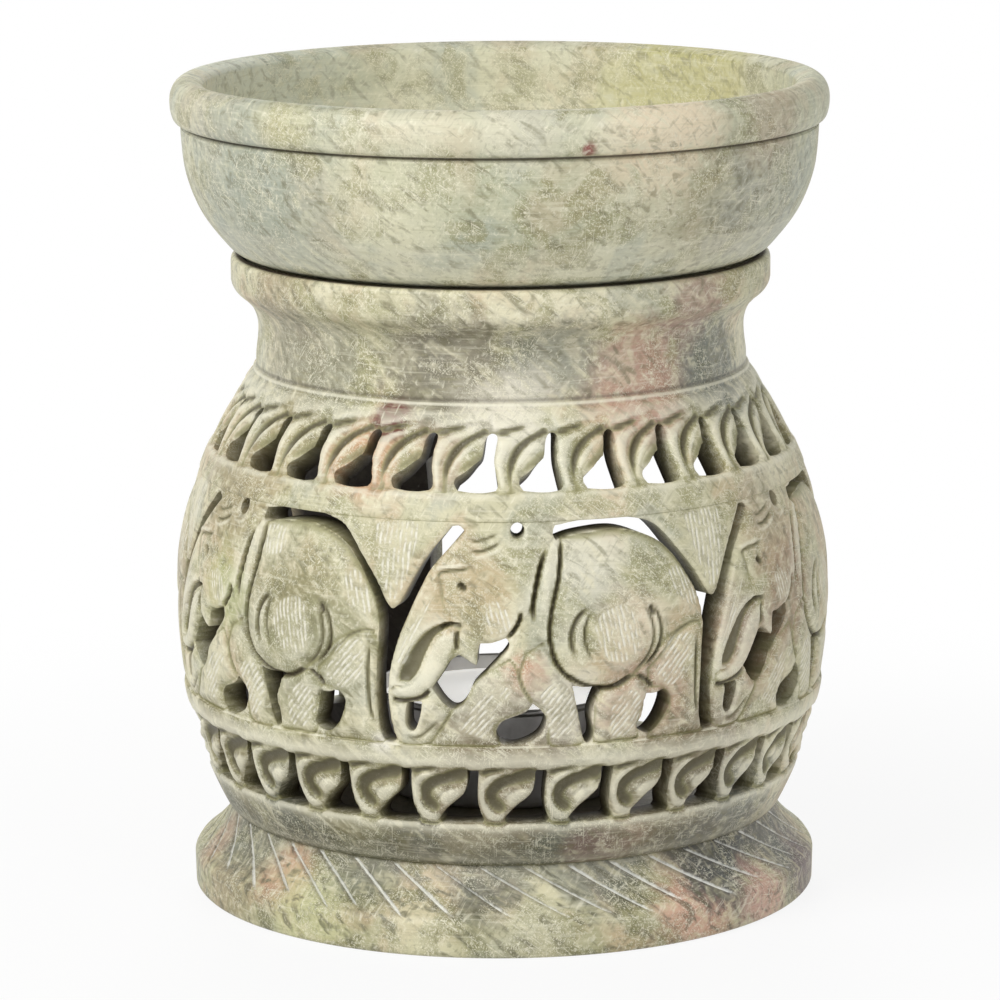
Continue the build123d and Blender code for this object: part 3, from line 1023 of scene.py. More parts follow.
class Turning:
    """A closed profile of radii and heights, turned on a lathe."""

    def __init__(self, radius: float, height: float) -> None:
        """Start the profile at a point."""
        self.points = [(radius, height)]

    def to(self, radius: float, height: float, pieces: int = 1) -> "Turning":
        """Go straight to a point.

        Args:
            radius: the point's radius.
            height: its height.
            pieces: how many pieces the way has.

        Returns:
            This profile.
        """
        start = self.points[-1]
        for share in np.arange(1, pieces + 1) / pieces:
            self.points.append((blend(start[0], radius, share), blend(start[1], height, share)))
        return self

    def through(self, *points: Point, pieces: int = 6) -> "Turning":
        """Go smoothly through points.

        Args:
            points: the points.
            pieces: how many pieces lie between one point and the next.

        Returns:
            This profile.
        """
        curve = curve_through((self.points[-1], *points), pieces)
        self.points.extend((float(r), float(z)) for r, z in curve[1:])
        return self

    def piece(self, name: str, columns: int, shape: Callable[[Skin], None] | None = None) -> Piece:
        """Turn the profile.

        Args:
            name: the piece's name.
            columns: how many faces go round.
            shape: moves and marks its points.

        Returns:
            The piece.
        """
        profile = np.array(self.points)
        profile = profile[np.append(True, np.hypot(*np.diff(profile, axis=0).T) > SAME)]
        azimuth = np.arange(columns) / columns * ROUND
        grid_azimuth, radius = np.meshgrid(azimuth, profile[:, 0])
        marks = {mark: np.zeros(radius.shape) for mark in MARKS}
        skin = Skin(grid_azimuth, radius, np.repeat(profile[:, 1:], columns, 1), marks)
        if shape:
            shape(skin)
        points = round_points(skin.azimuth, skin.radius, skin.height).reshape(-1, 3)
        faces = []
        on_axis = profile[:, 0] < SAME
        for row in range(len(profile) - 1):
            here, above = row * columns, (row + 1) * columns
            for column in range(columns):
                after = (column + 1) % columns
                if on_axis[row]:
                    faces.append((here, above + after, above + column))
                elif on_axis[row + 1]:
                    faces.append((here + column, here + after, above))
                else:
                    faces.append((here + column, here + after, above + after, above + column))
        marks = {mark: values.ravel() for mark, values in skin.marks.items()}
        made = place_piece(name, points, faces, marks)
        drop_loose_points(made)
        return made


def drop_loose_points(piece: Piece) -> None:
    """Delete the points that no face uses.

    Args:
        piece: the piece that may have such points.
    """
    work = bmesh.new()
    work.from_mesh(piece.data)
    loose = [point for point in work.verts if not point.link_faces]
    bmesh.ops.delete(work, geom=loose, context="VERTS")
    work.to_mesh(piece.data)
    work.free()


def trimmed_wall(
    name: str,
    azimuth: Array,
    height: Array,
    stone: Array,
    outer: Array,
    inner: Array,
    inner_azimuth: Array,
    sunk: Array,
    marks: Marks,
    wraps: bool,
) -> Piece:
    """A curved wall with gaps cut through it, closed at every edge.

    Args:
        name: the piece's name.
        azimuth: azimuths of the columns, in radians.
        height: heights of the rows.
        stone: distance to the nearest gap at each place, negative in a gap.
        outer: outer radius at each place.
        inner: inner radius at each place.
        inner_azimuth: azimuth of the inner face behind each place.
        sunk: how much lower than each place the inner face behind it is.
        marks: values stored on the outer face.
        wraps: whether the last column meets the first.

    Returns:
        The piece.
    """
    grid_azimuth, grid_height = np.meshgrid(azimuth, height)
    fields = np.stack([grid_azimuth, grid_height, outer, inner, inner_azimuth, sunk, *marks.values()])
    if wraps:
        turn = np.zeros((len(fields), 1, 1))
        turn[0], turn[4] = ROUND, ROUND
        fields = np.concatenate([fields, fields[:, :, :1] + turn], 2)
        stone = np.concatenate([stone, stone[:, :1]], 1)
    rows, columns = stone.shape
    within = stone > 0
    number = np.full(stone.shape, -1)
    own = within.copy()
    if wraps:
        own[:, -1] = False
    number[own] = np.arange(own.sum())
    if wraps:
        number[:, -1] = number[:, 0]
    found = [fields[:, own]]
    count = int(own.sum())

    def crossings(first: tuple, second: tuple, skip_last: bool) -> Array:
        """Number the places where a gap's edge crosses from one place to the next.

        Args:
            first: the places to start from.
            second: the place after each.
            skip_last: whether the last column repeats the first.

        Returns:
            A number for each start, -1 where nothing crosses.
        """
        nonlocal count
        here, there = stone[first], stone[second]
        cut = (here > 0) != (there > 0)
        numbers = np.full(here.shape, -1)
        if skip_last:
            cut[:, -1] = False
        share = np.clip(here[cut] / (here[cut] - there[cut]), 0.04, 0.96)
        start, end = fields[(slice(None), *first)][:, cut], fields[(slice(None), *second)][:, cut]
        found.append(start + (end - start) * share)
        numbers[cut] = count + np.arange(cut.sum())
        count += int(cut.sum())
        return numbers

    everything = slice(None)
    level = crossings((everything, slice(0, -1)), (everything, slice(1, None)), False)
    upright = crossings((slice(0, -1), everything), (slice(1, None), everything), wraps)
    if wraps:
        upright[:, -1] = upright[:, 0]
    corner = [number[:-1, :-1], number[:-1, 1:], number[1:, 1:], number[1:, :-1]]
    edge = [level[:-1], upright[:, 1:], level[1:], upright[:, :-1]]
    inside = [within[:-1, :-1], within[:-1, 1:], within[1:, 1:], within[1:, :-1]]
    case = sum(flag.astype(int) << k for k, flag in enumerate(inside))
    total = count
    faces: list = []

    def wall(first: Array, second: Array) -> None:
        """Close the stone between its outer and inner face along one edge."""
        faces.extend(np.stack([second, first, first + total, second + total], -1).tolist())

    for code in range(1, 16):
        chosen = case == code
        if not chosen.any():
            continue
        walk = []
        for k in range(4):
            now, after = code >> k & 1, code >> (k + 1) % 4 & 1
            if now:
                walk.append((corner[k][chosen], "corner"))
            if now != after:
                walk.append((edge[k][chosen], "leaves" if now else "enters"))
        ring = np.stack([numbers for numbers, _ in walk], -1)
        faces.extend(ring.tolist())
        faces.extend((ring[:, ::-1] + total).tolist())
        for (first, kind), (second, following) in zip(walk, walk[1:] + walk[:1]):
            if kind == "leaves" and following == "enters":
                wall(first, second)

    def border(first: Array, crossing: Array, second: Array) -> None:
        """Close the stone along an outer border of the patch.

        Args:
            first: points where its pieces start, -1 in a gap.
            crossing: points where they meet a gap's edge.
            second: points where they end, -1 in a gap.
        """
        both = (first >= 0) & (second >= 0)
        wall(first[both], second[both])
        leaves = (first >= 0) & (second < 0)
        wall(first[leaves], crossing[leaves])
        enters = (first < 0) & (second >= 0)
        wall(crossing[enters], second[enters])

    shown = [np.where(flag, numbers, -1) for flag, numbers in zip(inside, corner)]
    border(shown[0][0], edge[0][0], shown[1][0])
    border(shown[2][-1], edge[2][-1], shown[3][-1])
    if not wraps:
        border(shown[3][:, 0], edge[3][:, 0], shown[0][:, 0])
        border(shown[1][:, -1], edge[1][:, -1], shown[2][:, -1])
    at = np.concatenate(found, 1)
    points = np.concatenate([round_points(at[0], at[2], at[1]), round_points(at[4], at[3], at[1] - at[5])])
    # The inner face gets the painted shade of the pot's inner faces.
    stored = {}
    for mark, values in zip(marks, at[6:]):
        stored[mark] = np.concatenate([values, np.full(total, INNER_FACE_SHADE.get(mark, 0.0))])
    return place_piece(name, points, faces, stored)


# The burner's own pieces


class Course(Enum):
    """The pot's courses, from the ground up."""

    LOWER_LEAVES = "lip_and_lower_leaves"
    ELEPHANTS = "elephant_frieze"
    UPPER_LEAVES = "upper_leaves_and_rings"
    NECK = "neck_and_collar"


UPPER_GAP: Outline = (
    ((-2.55, 66.5), (1, 66.25), (3.6, 66.5)),
    ((3.6, 66.5), (4, 67.2), (3.7, 68.6), (3.35, 70.2), (3.5, 71.5), (3.9, 73)),
    ((3.9, 73), (3.8, 73.6), (3, 73.85), (2.2, 73.6)),
    ((2.2, 73.6), (1.7, 72.8), (1.4, 71.3), (1.1, 70.5)),
    ((1.1, 70.5), (0.2, 70), (-1.3, 69), (-2.9, 68.2)),
    ((-2.9, 68.2), (-3.2, 67.5), (-2.55, 66.5)),
)
LOWER_GAP: Outline = (
    ((0.4, 19.15), (3.5, 19.05), (6.9, 19.2)),
    ((6.9, 19.2), (7.15, 19.7), (6.7, 20.8), (6.35, 22.4), (6.35, 24.5), (6.5, 26.3), (6.6, 27.3)),
    ((6.6, 27.3), (4.8, 27.4)),
    ((4.8, 27.4), (4.75, 25.6), (4.3, 24), (3.4, 23), (1.9, 21.8), (0.7, 20.6)),
    ((0.7, 20.6), (0.15, 19.8), (0.4, 19.15)),
)


@dataclass(frozen=True)
class Leaves:
    """A band of leaves with gaps between them; places are measured from a gap's own line.

    Attributes:
        count: how many go round.
        turn: azimuth of one gap's line, in degrees.
        gap: outline of the gap.
        set_back: how far the band lies behind the rings beside it.
        low: heights between which it steps back.
        high: heights between which it comes forward again.
    """

    count: int
    turn: float
    gap: Outline
    set_back: float
    low: Point
    high: Point

    def lines(self) -> list[float]:
        """Azimuths of the gaps' lines in degrees, a little uneven."""
        return [self.turn + k * 360 / self.count + 0.22 * math.sin(k * 12.99) for k in range(self.count)]

    def stepped(self, z: Array) -> Array:
        """How far back the band lies at each height."""
        return self.set_back * smooth(*self.low, z) * (1 - smooth(*self.high, z))


@dataclass
class Pot:
    """The pierced pot: a turned wall, carved and cut through.

    Attributes:
        belly: radius at its widest; belly_z is the height of that.
        lower_curve: radius of the wall's curve below it; upper_curve is the same above it.
        floor_opening: radius of the opening in its floor.
        lip_round: radius of the rounding at its foot.
        frieze_z: height of the frieze's lower edge; ring_z is that of its upper edge.
        leaves_z: height of the upper leaves' lower edge; top_ring_z is that of the ring over them.
        neck_inside: inner radius where the neck starts; bore is the same above.
        scale: millimetres of wall for one radian, near the belly.
        row: height of a row; fine_row is the same in the frieze.
        row_gap: least height from a row to one at an edge.
        lower_edges: heights of the lower course's edges, which have rows of their own.
        arris_radius: width of the rounding at the gaps' edges; arris_drop is its depth.
        saw_slope: how far the saw that cut the upper gaps ran down through the wall.
        door_shoulder: height at which the doorway's arch starts; door_crown is its top.
        door_sill: how far the doorway stays above the floor.
        door_clear: half the azimuth that the lower leaves leave free for it, in degrees.
        first_line: azimuth of the gap before the first elephant, in degrees.
        elephant_pitch: azimuth from one elephant to the next, in degrees.
    """

    belly: float = 48.35
    belly_z: float = 42.0
    lower_curve: float = 62.5
    upper_curve: float = 58.0
    wall: float = 4.5
    floor_opening: float = 33.0
    lip_round: float = 0.8
    frieze_z: float = 30.9
    ring_z: float = 62.5
    leaves_z: float = 66.2
    top_ring_z: float = 74.4
    neck_z: float = 77.1
    neck_inside: float = 30.8
    bore: float = 30.5
    scale: float = 48.3
    columns: int = 756
    row: float = 0.4
    row_gap: float = 0.14
    fine_row: float = 0.32
    wide_column: float = 1.1
    lower_edges: Sequence[float] = (12.25, 12.5, 12.9, SPIGOT_TOP, 14.44, 18.8, 19, 19.2, 27.7, 30.72)
    frieze_edges: Sequence[float] = (31.05, 31.3, 62.2, 62.38)
    upper_edges: Sequence[float] = (62.62, 66.05, 66.25, 66.5, 74.4, 76.95)
    arris_radius: float = 0.7
    arris_drop: float = 0.45
    saw_slope: float = 1.9
    door_half: float = 24.3
    door_shoulder: float = 55.0
    door_crown: float = 64.0
    door_sill: float = 0.01
    door_clear: float = 41.8
    first_line: float = -117.6
    elephant_pitch: float = 57.8
    elephants: int = 4
    upper: Leaves = Leaves(29, 0.8, UPPER_GAP, 0.3, (66.1, 66.45), (73.8, 75))
    lower: Leaves = Leaves(30, 6.6, LOWER_GAP, 0.55, (18.85, 19.25), (27.2, 28.1))
    stone: Soapstone = POT_STONE

    def outer(self, z: Array, depth: float = 0.0) -> Array:
        """Radius of the turned wall at a height, or of a face that lies deeper in it."""
        curve = np.where(z < self.belly_z, self.lower_curve, self.upper_curve)
        return self.belly - curve + np.sqrt((curve - depth) ** 2 - (z - self.belly_z) ** 2)

    def inner(self, z: Array) -> Array:
        """Radius of the wall's inside at a height, and of the floor's opening under it."""
        return np.where(z <= SPIGOT_TOP, self.floor_opening, self.outer(z, self.wall))

    def sunk(self, z: Array) -> Array:
        """How much lower than each height the saw left the wall's inner face."""
        drop = self.saw_slope * smooth(self.ring_z, self.leaves_z, z)
        return drop * (1 - 0.8 * smooth(67.5, 73, z) - 0.2 * smooth(self.top_ring_z, self.neck_z, z))

    def doorway(self, work: Carving, azimuth: Array) -> None:
        """Cut the doorway at the back of the pot.

        Args:
            work: a course.
            azimuth: azimuths of its places.
        """
        across = self.belly * np.sin(azimuth - math.pi)
        across = np.where(np.cos(azimuth - math.pi) > 0, across, FAR)
        rise = self.door_crown - self.door_shoulder
        arch = (self.door_half**2 + rise**2) / (2 * rise)
        top = self.door_crown - arch + np.sqrt(np.maximum(arch**2 - np.minimum(abs(across), arch) ** 2, 0))
        sides = self.door_half - abs(across)
        inside = np.minimum(np.minimum(sides, top - work.z), work.z - SPIGOT_TOP - self.door_sill)
        work.stone = np.minimum(work.stone, -inside)

    def inner_azimuth(self, azimuth: Array, inner: Array) -> Array:
        """Turn the inner face so that the doorway's sides are parallel.

        Args:
            azimuth: azimuths of the outer face.
            inner: inner radii.

        Returns:
            Azimuths of the inner face behind each place.
        """
        turn = azimuth % ROUND - math.pi
        edge = math.asin(self.door_half / self.belly)
        inner_edge = np.arcsin(np.clip(self.door_half / inner, 0, 1))
        spread = np.interp(np.abs(turn), (0, edge, 1.5 * edge, math.pi), (0, 1, 0, 0))
        return azimuth + np.sign(turn) * spread * (inner_edge - edge)

    def rows(self, row: float, low: float, high: float, edges: Sequence[float]) -> Array:
        """Space a course's rows evenly, with some more where it has an edge.

        Args:
            row: height of a row.
            low: height of the first.
            high: height of the last.
            edges: heights of the edges.

        Returns:
            The rows' heights.
        """
        even = np.linspace(low, high, round((high - low) / row) + 1)
        kept = [z for z in even if all(abs(z - edge) > self.row_gap for edge in edges) or z in (low, high)]
        return np.array(sorted({round(float(z), 4) for z in (*kept, *edges)}))

    def even_columns(self) -> Array:
        """Azimuths of the columns of a course that is carved all round."""
        return np.arange(self.columns) / self.columns * ROUND - math.pi

    def herd_columns(self) -> Array:
        """Space the frieze's columns close on the elephants and wide beside the doorway.

        Returns:
            The columns' azimuths.
        """
        first = math.radians(self.first_line - 2)
        last = math.radians(self.first_line + self.elephants * self.elephant_pitch + 2)
        close = np.linspace(first, last, round((last - first) * self.scale / self.fine_row) + 1)
        rest = round((ROUND - last + first) * self.scale / self.wide_column)
        wide = last + (ROUND - last + first) * np.arange(1, rest) / rest
        return np.concatenate([close, wide])

    def start(self, heights: Array, azimuth: Array) -> tuple[Carving, Array]:
        """A bare course and the azimuths of its places."""
        grid, z = np.meshgrid(azimuth, heights)
        return Carving(grid * self.scale, z), grid

    def course(self, course: Course, work: Carving, azimuth: Array, parts: Iterable[tuple[int, int]],
               smoothing: int = 0) -> list[Piece]:
        """Mesh a course, whole or in parts.

        Args:
            course: which course.
            work: its carving.
            azimuth: azimuths of its places.
            parts: first and last column of each part, or one part with all.
            smoothing: how many times its carving is levelled.

        Returns:
            The pieces.
        """
        work.depth = work.levelled(work.depth, smoothing)
        wear = work.relief_wear_and_shading()
        work.soften_arrises(self.arris_radius, self.arris_drop)
        heights = work.z[:, 0]
        outer = self.outer(work.z) + work.depth
        sunk = self.sunk(work.z)
        inner = self.inner(work.z - sunk)
        behind = self.inner_azimuth(azimuth, inner)
        # Places cut deeper than 0.6 mm are darkened too: painted shade in the hollows.
        dirt_and_hollow_shade = np.maximum(work.grime, 0.5 * smooth(0.6, 1.7, -work.depth))
        marks = {"wear": wear, "grime": dirt_and_hollow_shade, "hatch": work.hatch, "strokes": work.strokes}
        pieces = []
        columns = azimuth.shape[1]
        for number, (first, last) in enumerate(parts):
            whole = last - first >= columns
            take = np.arange(first, last + (0 if whole else 1))
            turns = take // columns * ROUND
            take = take % columns
            name = f"pot_{course.value}" if whole else f"pot_{course.value}_{number + 1}"
            piece = trimmed_wall(
                name, azimuth[0, take] + turns, heights, work.stone[:, take], outer[:, take],
                inner[:, take], behind[:, take] + turns, sunk[:, take],
                {mark: value[:, take] for mark, value in marks.items()}, whole,
            )
            pieces.append(piece)
        return pieces

    def lower_course(self) -> list[Piece]:
        """Carve the lip, the lower leaves and the ledge over them.

        Returns:
            The course's pieces.
        """
        heights = self.rows(self.row, FOOT_TOP, self.frieze_z, self.lower_edges)
        work, azimuth = self.start(heights, self.even_columns())
        z = work.z
        under = np.clip((FOOT_TOP + self.lip_round - z) / self.lip_round, 0, 1)
        work.depth -= self.lip_round * (1 - np.sqrt(1 - under**2 * 0.98))
        work.depth -= self.lower.stepped(z)
        work.depth -= 0.18 * smooth(30.5, 30.9, z)
        # The lip darkens towards its bottom.
        work.grime += 0.26 * (1 - smooth(13, 19.5, z))
        half = 180 / self.lower.count
        lines = [line for line in self.lower.lines() if abs((line + half) % 360 - 180) > self.door_clear]
        for line in lines:
            self.lower_leaf(work, line)
        for line in lines:
            for near in self.at_line(work, line, -7.5, 9):
                # This groove's dark line under the ledge is painted shadow.
                near.groove(((-4.4, 26.8), (-3, 27.15), (-1.2, 27.5), (1, 27.8)), 0.6, 0.5, 0.3, 0.6)
                near.pierce(self.lower.gap)
        self.doorway(work, azimuth)
        return self.course(Course.LOWER_LEAVES, work, azimuth, [(0, azimuth.shape[1])], 2)

    def at_line(self, work: Carving, line: float, low: float, high: float) -> list[Carving]:
        """The part of a course near an upright line, measured from it.

        Args:
            work: the whole course.
            line: the line's azimuth in degrees.
            low: how far to its left, negative.
            high: how far to its right.

        Returns:
            Carvings that share the course's values, one, or two where the part runs over the seam.
        """
        parts = []
        middle = math.radians(line) * self.scale
        for turn in (-1, 0, 1):
            place = work.x[0] - middle + turn * ROUND * self.scale
            chosen = np.flatnonzero((place >= low) & (place <= high))
            if len(chosen):
                part = slice(chosen[0], chosen[-1] + 1)
                near = Carving(work.x[:, part] - middle + turn * ROUND * self.scale, work.z[:, part])
                for name in Carving.layers:
                    setattr(near, name, getattr(work, name)[:, part])
                parts.append(near)
        return parts

    def lower_leaf(self, work: Carving, line: float) -> None:
        """Carve one cupped leaf, its tip under the ledge.

        Args:
            work: the lower course.
            line: azimuth of the gap beside it.
        """
        for near in self.at_line(work, line, -7.5, 9):
            near.mound(
                ((-2.9, 18.9), (-3.5, 20.6), (-3.85, 22.6), (-3.8, 24.6), (-3.3, 26.2), (-2, 27.3),
                 (0.5, 27.7), (4.5, 27.85), (5, 27.2), (4.75, 25.4), (4.3, 24), (3.3, 22.9), (1.8, 21.7),
                 (0.6, 20.5), (0.2, 18.9)), -1.3, -0.15, 1.9,
            )
            near.facet(
                ((-1.3, 20.9), (-2.2, 21.9), (-2.7, 23.5), (-2.2, 25.1), (-0.6, 26.3), (1.6, 26.9),
                 (4.4, 27.5), (4.7, 25.9), (4, 24.3), (2.6, 23.1), (1.2, 22), (-0.1, 20.9)),
                ((-1.5, 21.2), (-2.5, 23.4), (-2.1, 25), (-0.5, 26.2), (1.6, 26.8), (4.4, 27.4)),
                -1.75, -0.42,
            )
            near.groove(((-2.1, 22.4), (-1, 24.4), (1.2, 25.7), (4, 26.9)), 0.45, 0.6, 0.35, 0.6)
            near.groove(((-0.9, 21.8), (0.9, 23.9), (2.9, 25.2)), 0.22, 0.3, 0.3, 0.35)
            near.groove(((-1.2, 19.2), (-1.4, 20.6), (-1.2, 21.9)), -0.25, 0.4, 0.3)

    def upper_leaf(self, work: Carving, line: float) -> None:
        """Carve one leaf that sweeps up into the top ring: its outer band and its lobe.

        Args:
            work: the upper course.
            line: azimuth of the gap beside it.
        """
        for near in self.at_line(work, line, -4.5, 15.5):
            near.mound(
                ((4.1, 66.3), (3.7, 68.6), (3.3, 70.2), (3.5, 71.8), (4.1, 73.3), (5.6, 74), (7.6, 74.5),
                 (9.8, 75.1), (13, 75.5), (13.6, 74.4), (12.2, 73.7), (9.8, 72.9), (7.9, 71.5), (6.7, 70),
                 (6.3, 68.2), (6.5, 66.3)), -0.7, -0.05, 1.1,
            )
            near.facet(
                ((5.2, 66.4), (4.7, 68.4), (4.5, 70.2), (5.1, 71.9), (6.3, 73.2), (8.3, 74.1), (11, 74.8),
                 (12.8, 74.2), (11.4, 73.4), (9.6, 72.7), (7.8, 71.3), (6.7, 69.8), (6.4, 68.2),
                 (6.5, 66.4)),
                ((5.1, 66.6), (4.6, 68.4), (4.4, 70.2), (5, 71.9), (6.2, 73.3), (8.2, 74.2), (11, 74.9)),
                -0.05, 0.48,
            )
            near.facet(
                ((6.4, 66.4), (6.2, 68.4), (6.75, 70), (7.9, 71.4), (9.8, 72.7), (11.7, 73.6),
                 (12.6, 73.3), (12.3, 71.8), (11.8, 70.5), (10.5, 69.7), (8.8, 68.8), (7.4, 68),
                 (7.5, 66.4)),
                ((6.5, 66.6), (6.4, 68.4), (6.95, 70), (8.1, 71.3), (10, 72.5), (11.9, 73.4)), -0.25, 0.26,
            )

    def leaf_tip(self, work: Carving, line: float) -> None:
        """Cut the valley behind a leaf's lobe, on past its tip and over the next leaf, and the gap.

        Args:
            work: the upper course.
            line: azimuth of the gap.
        """
        for near in self.at_line(work, line, -4.5, 22.5):
            # Both grooves are darkened: painted shade in the valley and painted shadow under the top ring's
            # edge.
            near.groove(
                ((5.9, 67.6), (6.05, 69), (6.7, 70.6), (8.1, 72.1), (10, 73.2), (12.4, 73.9),
                 (14.6, 74)), 0.4, 0.5, 0.25, 0.5,
            )
            near.groove(((12.2, 73.75), (14.4, 73.95), (16.4, 74.25), (18.4, 74.65), (20.6, 75.1)),
                        0.5, 0.6, 0.35, 0.4)
            near.pierce(self.upper.gap)

    def elephant_line(self, number: int) -> float:
        """Azimuth of the line of the gap before an elephant, in degrees."""
        return self.first_line + number * self.elephant_pitch

    def upper_course(self) -> list[Piece]:
        """Carve the middle ring, the upper leaves and the top ring.

        Returns:
            The course's pieces.
        """
        heights = self.rows(self.row, self.ring_z, self.neck_z, self.upper_edges)
        work, azimuth = self.start(heights, self.even_columns())
        z = work.z
        work.depth -= 0.22 * (1 - smooth(62.5, 62.75, z))
        work.depth -= self.upper.stepped(z)
        work.depth -= 0.12 * smooth(76.8, 77.1, z)
        for line in self.upper.lines():
            self.upper_leaf(work, line)
        for line in self.upper.lines():
            self.leaf_tip(work, line)
        self.doorway(work, azimuth)
        return self.course(Course.UPPER_LEAVES, work, azimuth, [(0, azimuth.shape[1])], 1)

    def frieze_course(self) -> list[Piece]:
        """Carve the elephants and the posts beside the doorway.

        Returns:
            The course's pieces, parted at the lines of the long gaps.
        """
        heights = self.rows(self.fine_row, self.frieze_z, self.ring_z, self.frieze_edges)
        work, azimuth = self.start(heights, self.herd_columns())
        z = work.z
        work.depth -= 0.18 + 0.27 * smooth(30.95, 31.3, z)
        work.depth += 0.3 * smooth(52, 60, z)
        work.depth -= 0.1 * smooth(62.25, 62.45, z)
        herd = Herd(self)
        for number in range(self.elephants):
            herd.elephant(work, number)
        for number in range(self.elephants + 1):
            herd.gap(work, number)
        self.doorway(work, azimuth)
        places = [math.radians(self.elephant_line(number)) for number in range(self.elephants + 1)]
        lines = [int(np.argmin(abs(azimuth[0] - place))) for place in places]
        parts = [*zip(lines, lines[1:]), (lines[-1], lines[0] + azimuth.shape[1])]
        return self.course(Course.ELEPHANTS, work, azimuth, parts)

    def neck_and_collar(self) -> Piece:
        """Turn the neck's cove, the collar and the dished seat for the bowl.

        Returns:
            The piece.
        """
        shoulder = float(self.outer(np.array(self.neck_z)))
        profile = Turning(self.neck_inside, self.neck_z).to(shoulder - 0.12, self.neck_z, 2)
        profile.through((36.38, 77.45), (36.25, 77.75), (36, 77.85), pieces=3)
        profile.through((35.9, 78.1), (35.88, 79.6), (35.55, 82.4), (35.6, 84.6), (36.3, 86.6), (37.5, 88))
        profile.through((38.6, 88.9), (39.2, 89.8), (39.4, 90.6), pieces=4).to(39.4, 93.2, 4)
        profile.through((39.3, 93.75), (38.9, 94.1), (38.5, 94.2), pieces=3).to(38.1, 94.2)
        profile.through((37.9, 94.1), (36.4, 92.8), (33.67, SEAT_Z), pieces=4)
        profile.to(self.bore + 0.3, SEAT_Z, 2).to(self.bore, SEAT_Z - 0.3)
        profile.to(self.bore, 78, 12).to(self.neck_inside, self.neck_z)
        return profile.piece("pot_" + Course.NECK.value, self.columns // 2, self.neck_worn_and_shaded)

    def neck_worn_and_shaded(self, skin: Skin) -> None:
        """Mark the ring's edge pale and the line over it dark, and paint shade in the bore and on the bowl's
        seat under the bowl.

        Args:
            skin: the turned piece's points.
        """
        radius, height = skin.radius, skin.height
        outside = radius > 34
        grime = 0.55 * np.exp(-(((height - 78.15) / 0.3) ** 2)) * outside
        # The bore is painted dark: painted shade inside the neck.
        inside = 0.55 * ((radius < 33.8) & (height < 91.4))
        skin.marks["wear"] = 0.8 * np.exp(-(((height - 77.6) / 0.25) ** 2)) * outside
        shade = 1.2 * smooth(93, 93.7, height) * (radius > 33) * (1 - smooth(38.4, 39.1, radius))
        skin.marks["grime"] = np.maximum(np.maximum(grime, inside), shade)

    def build(self) -> list[Piece]:
        """Make every course and finish it.

        Returns:
            The pot's pieces, from the ground up.
        """
        pieces = [*self.lower_course(), *self.frieze_course(), *self.upper_course(), self.neck_and_collar()]
        material = self.stone.material()
        for piece in pieces:
            finish_piece(piece, material, "burner", "pierced_pot", "pot_stone")
        return pieces


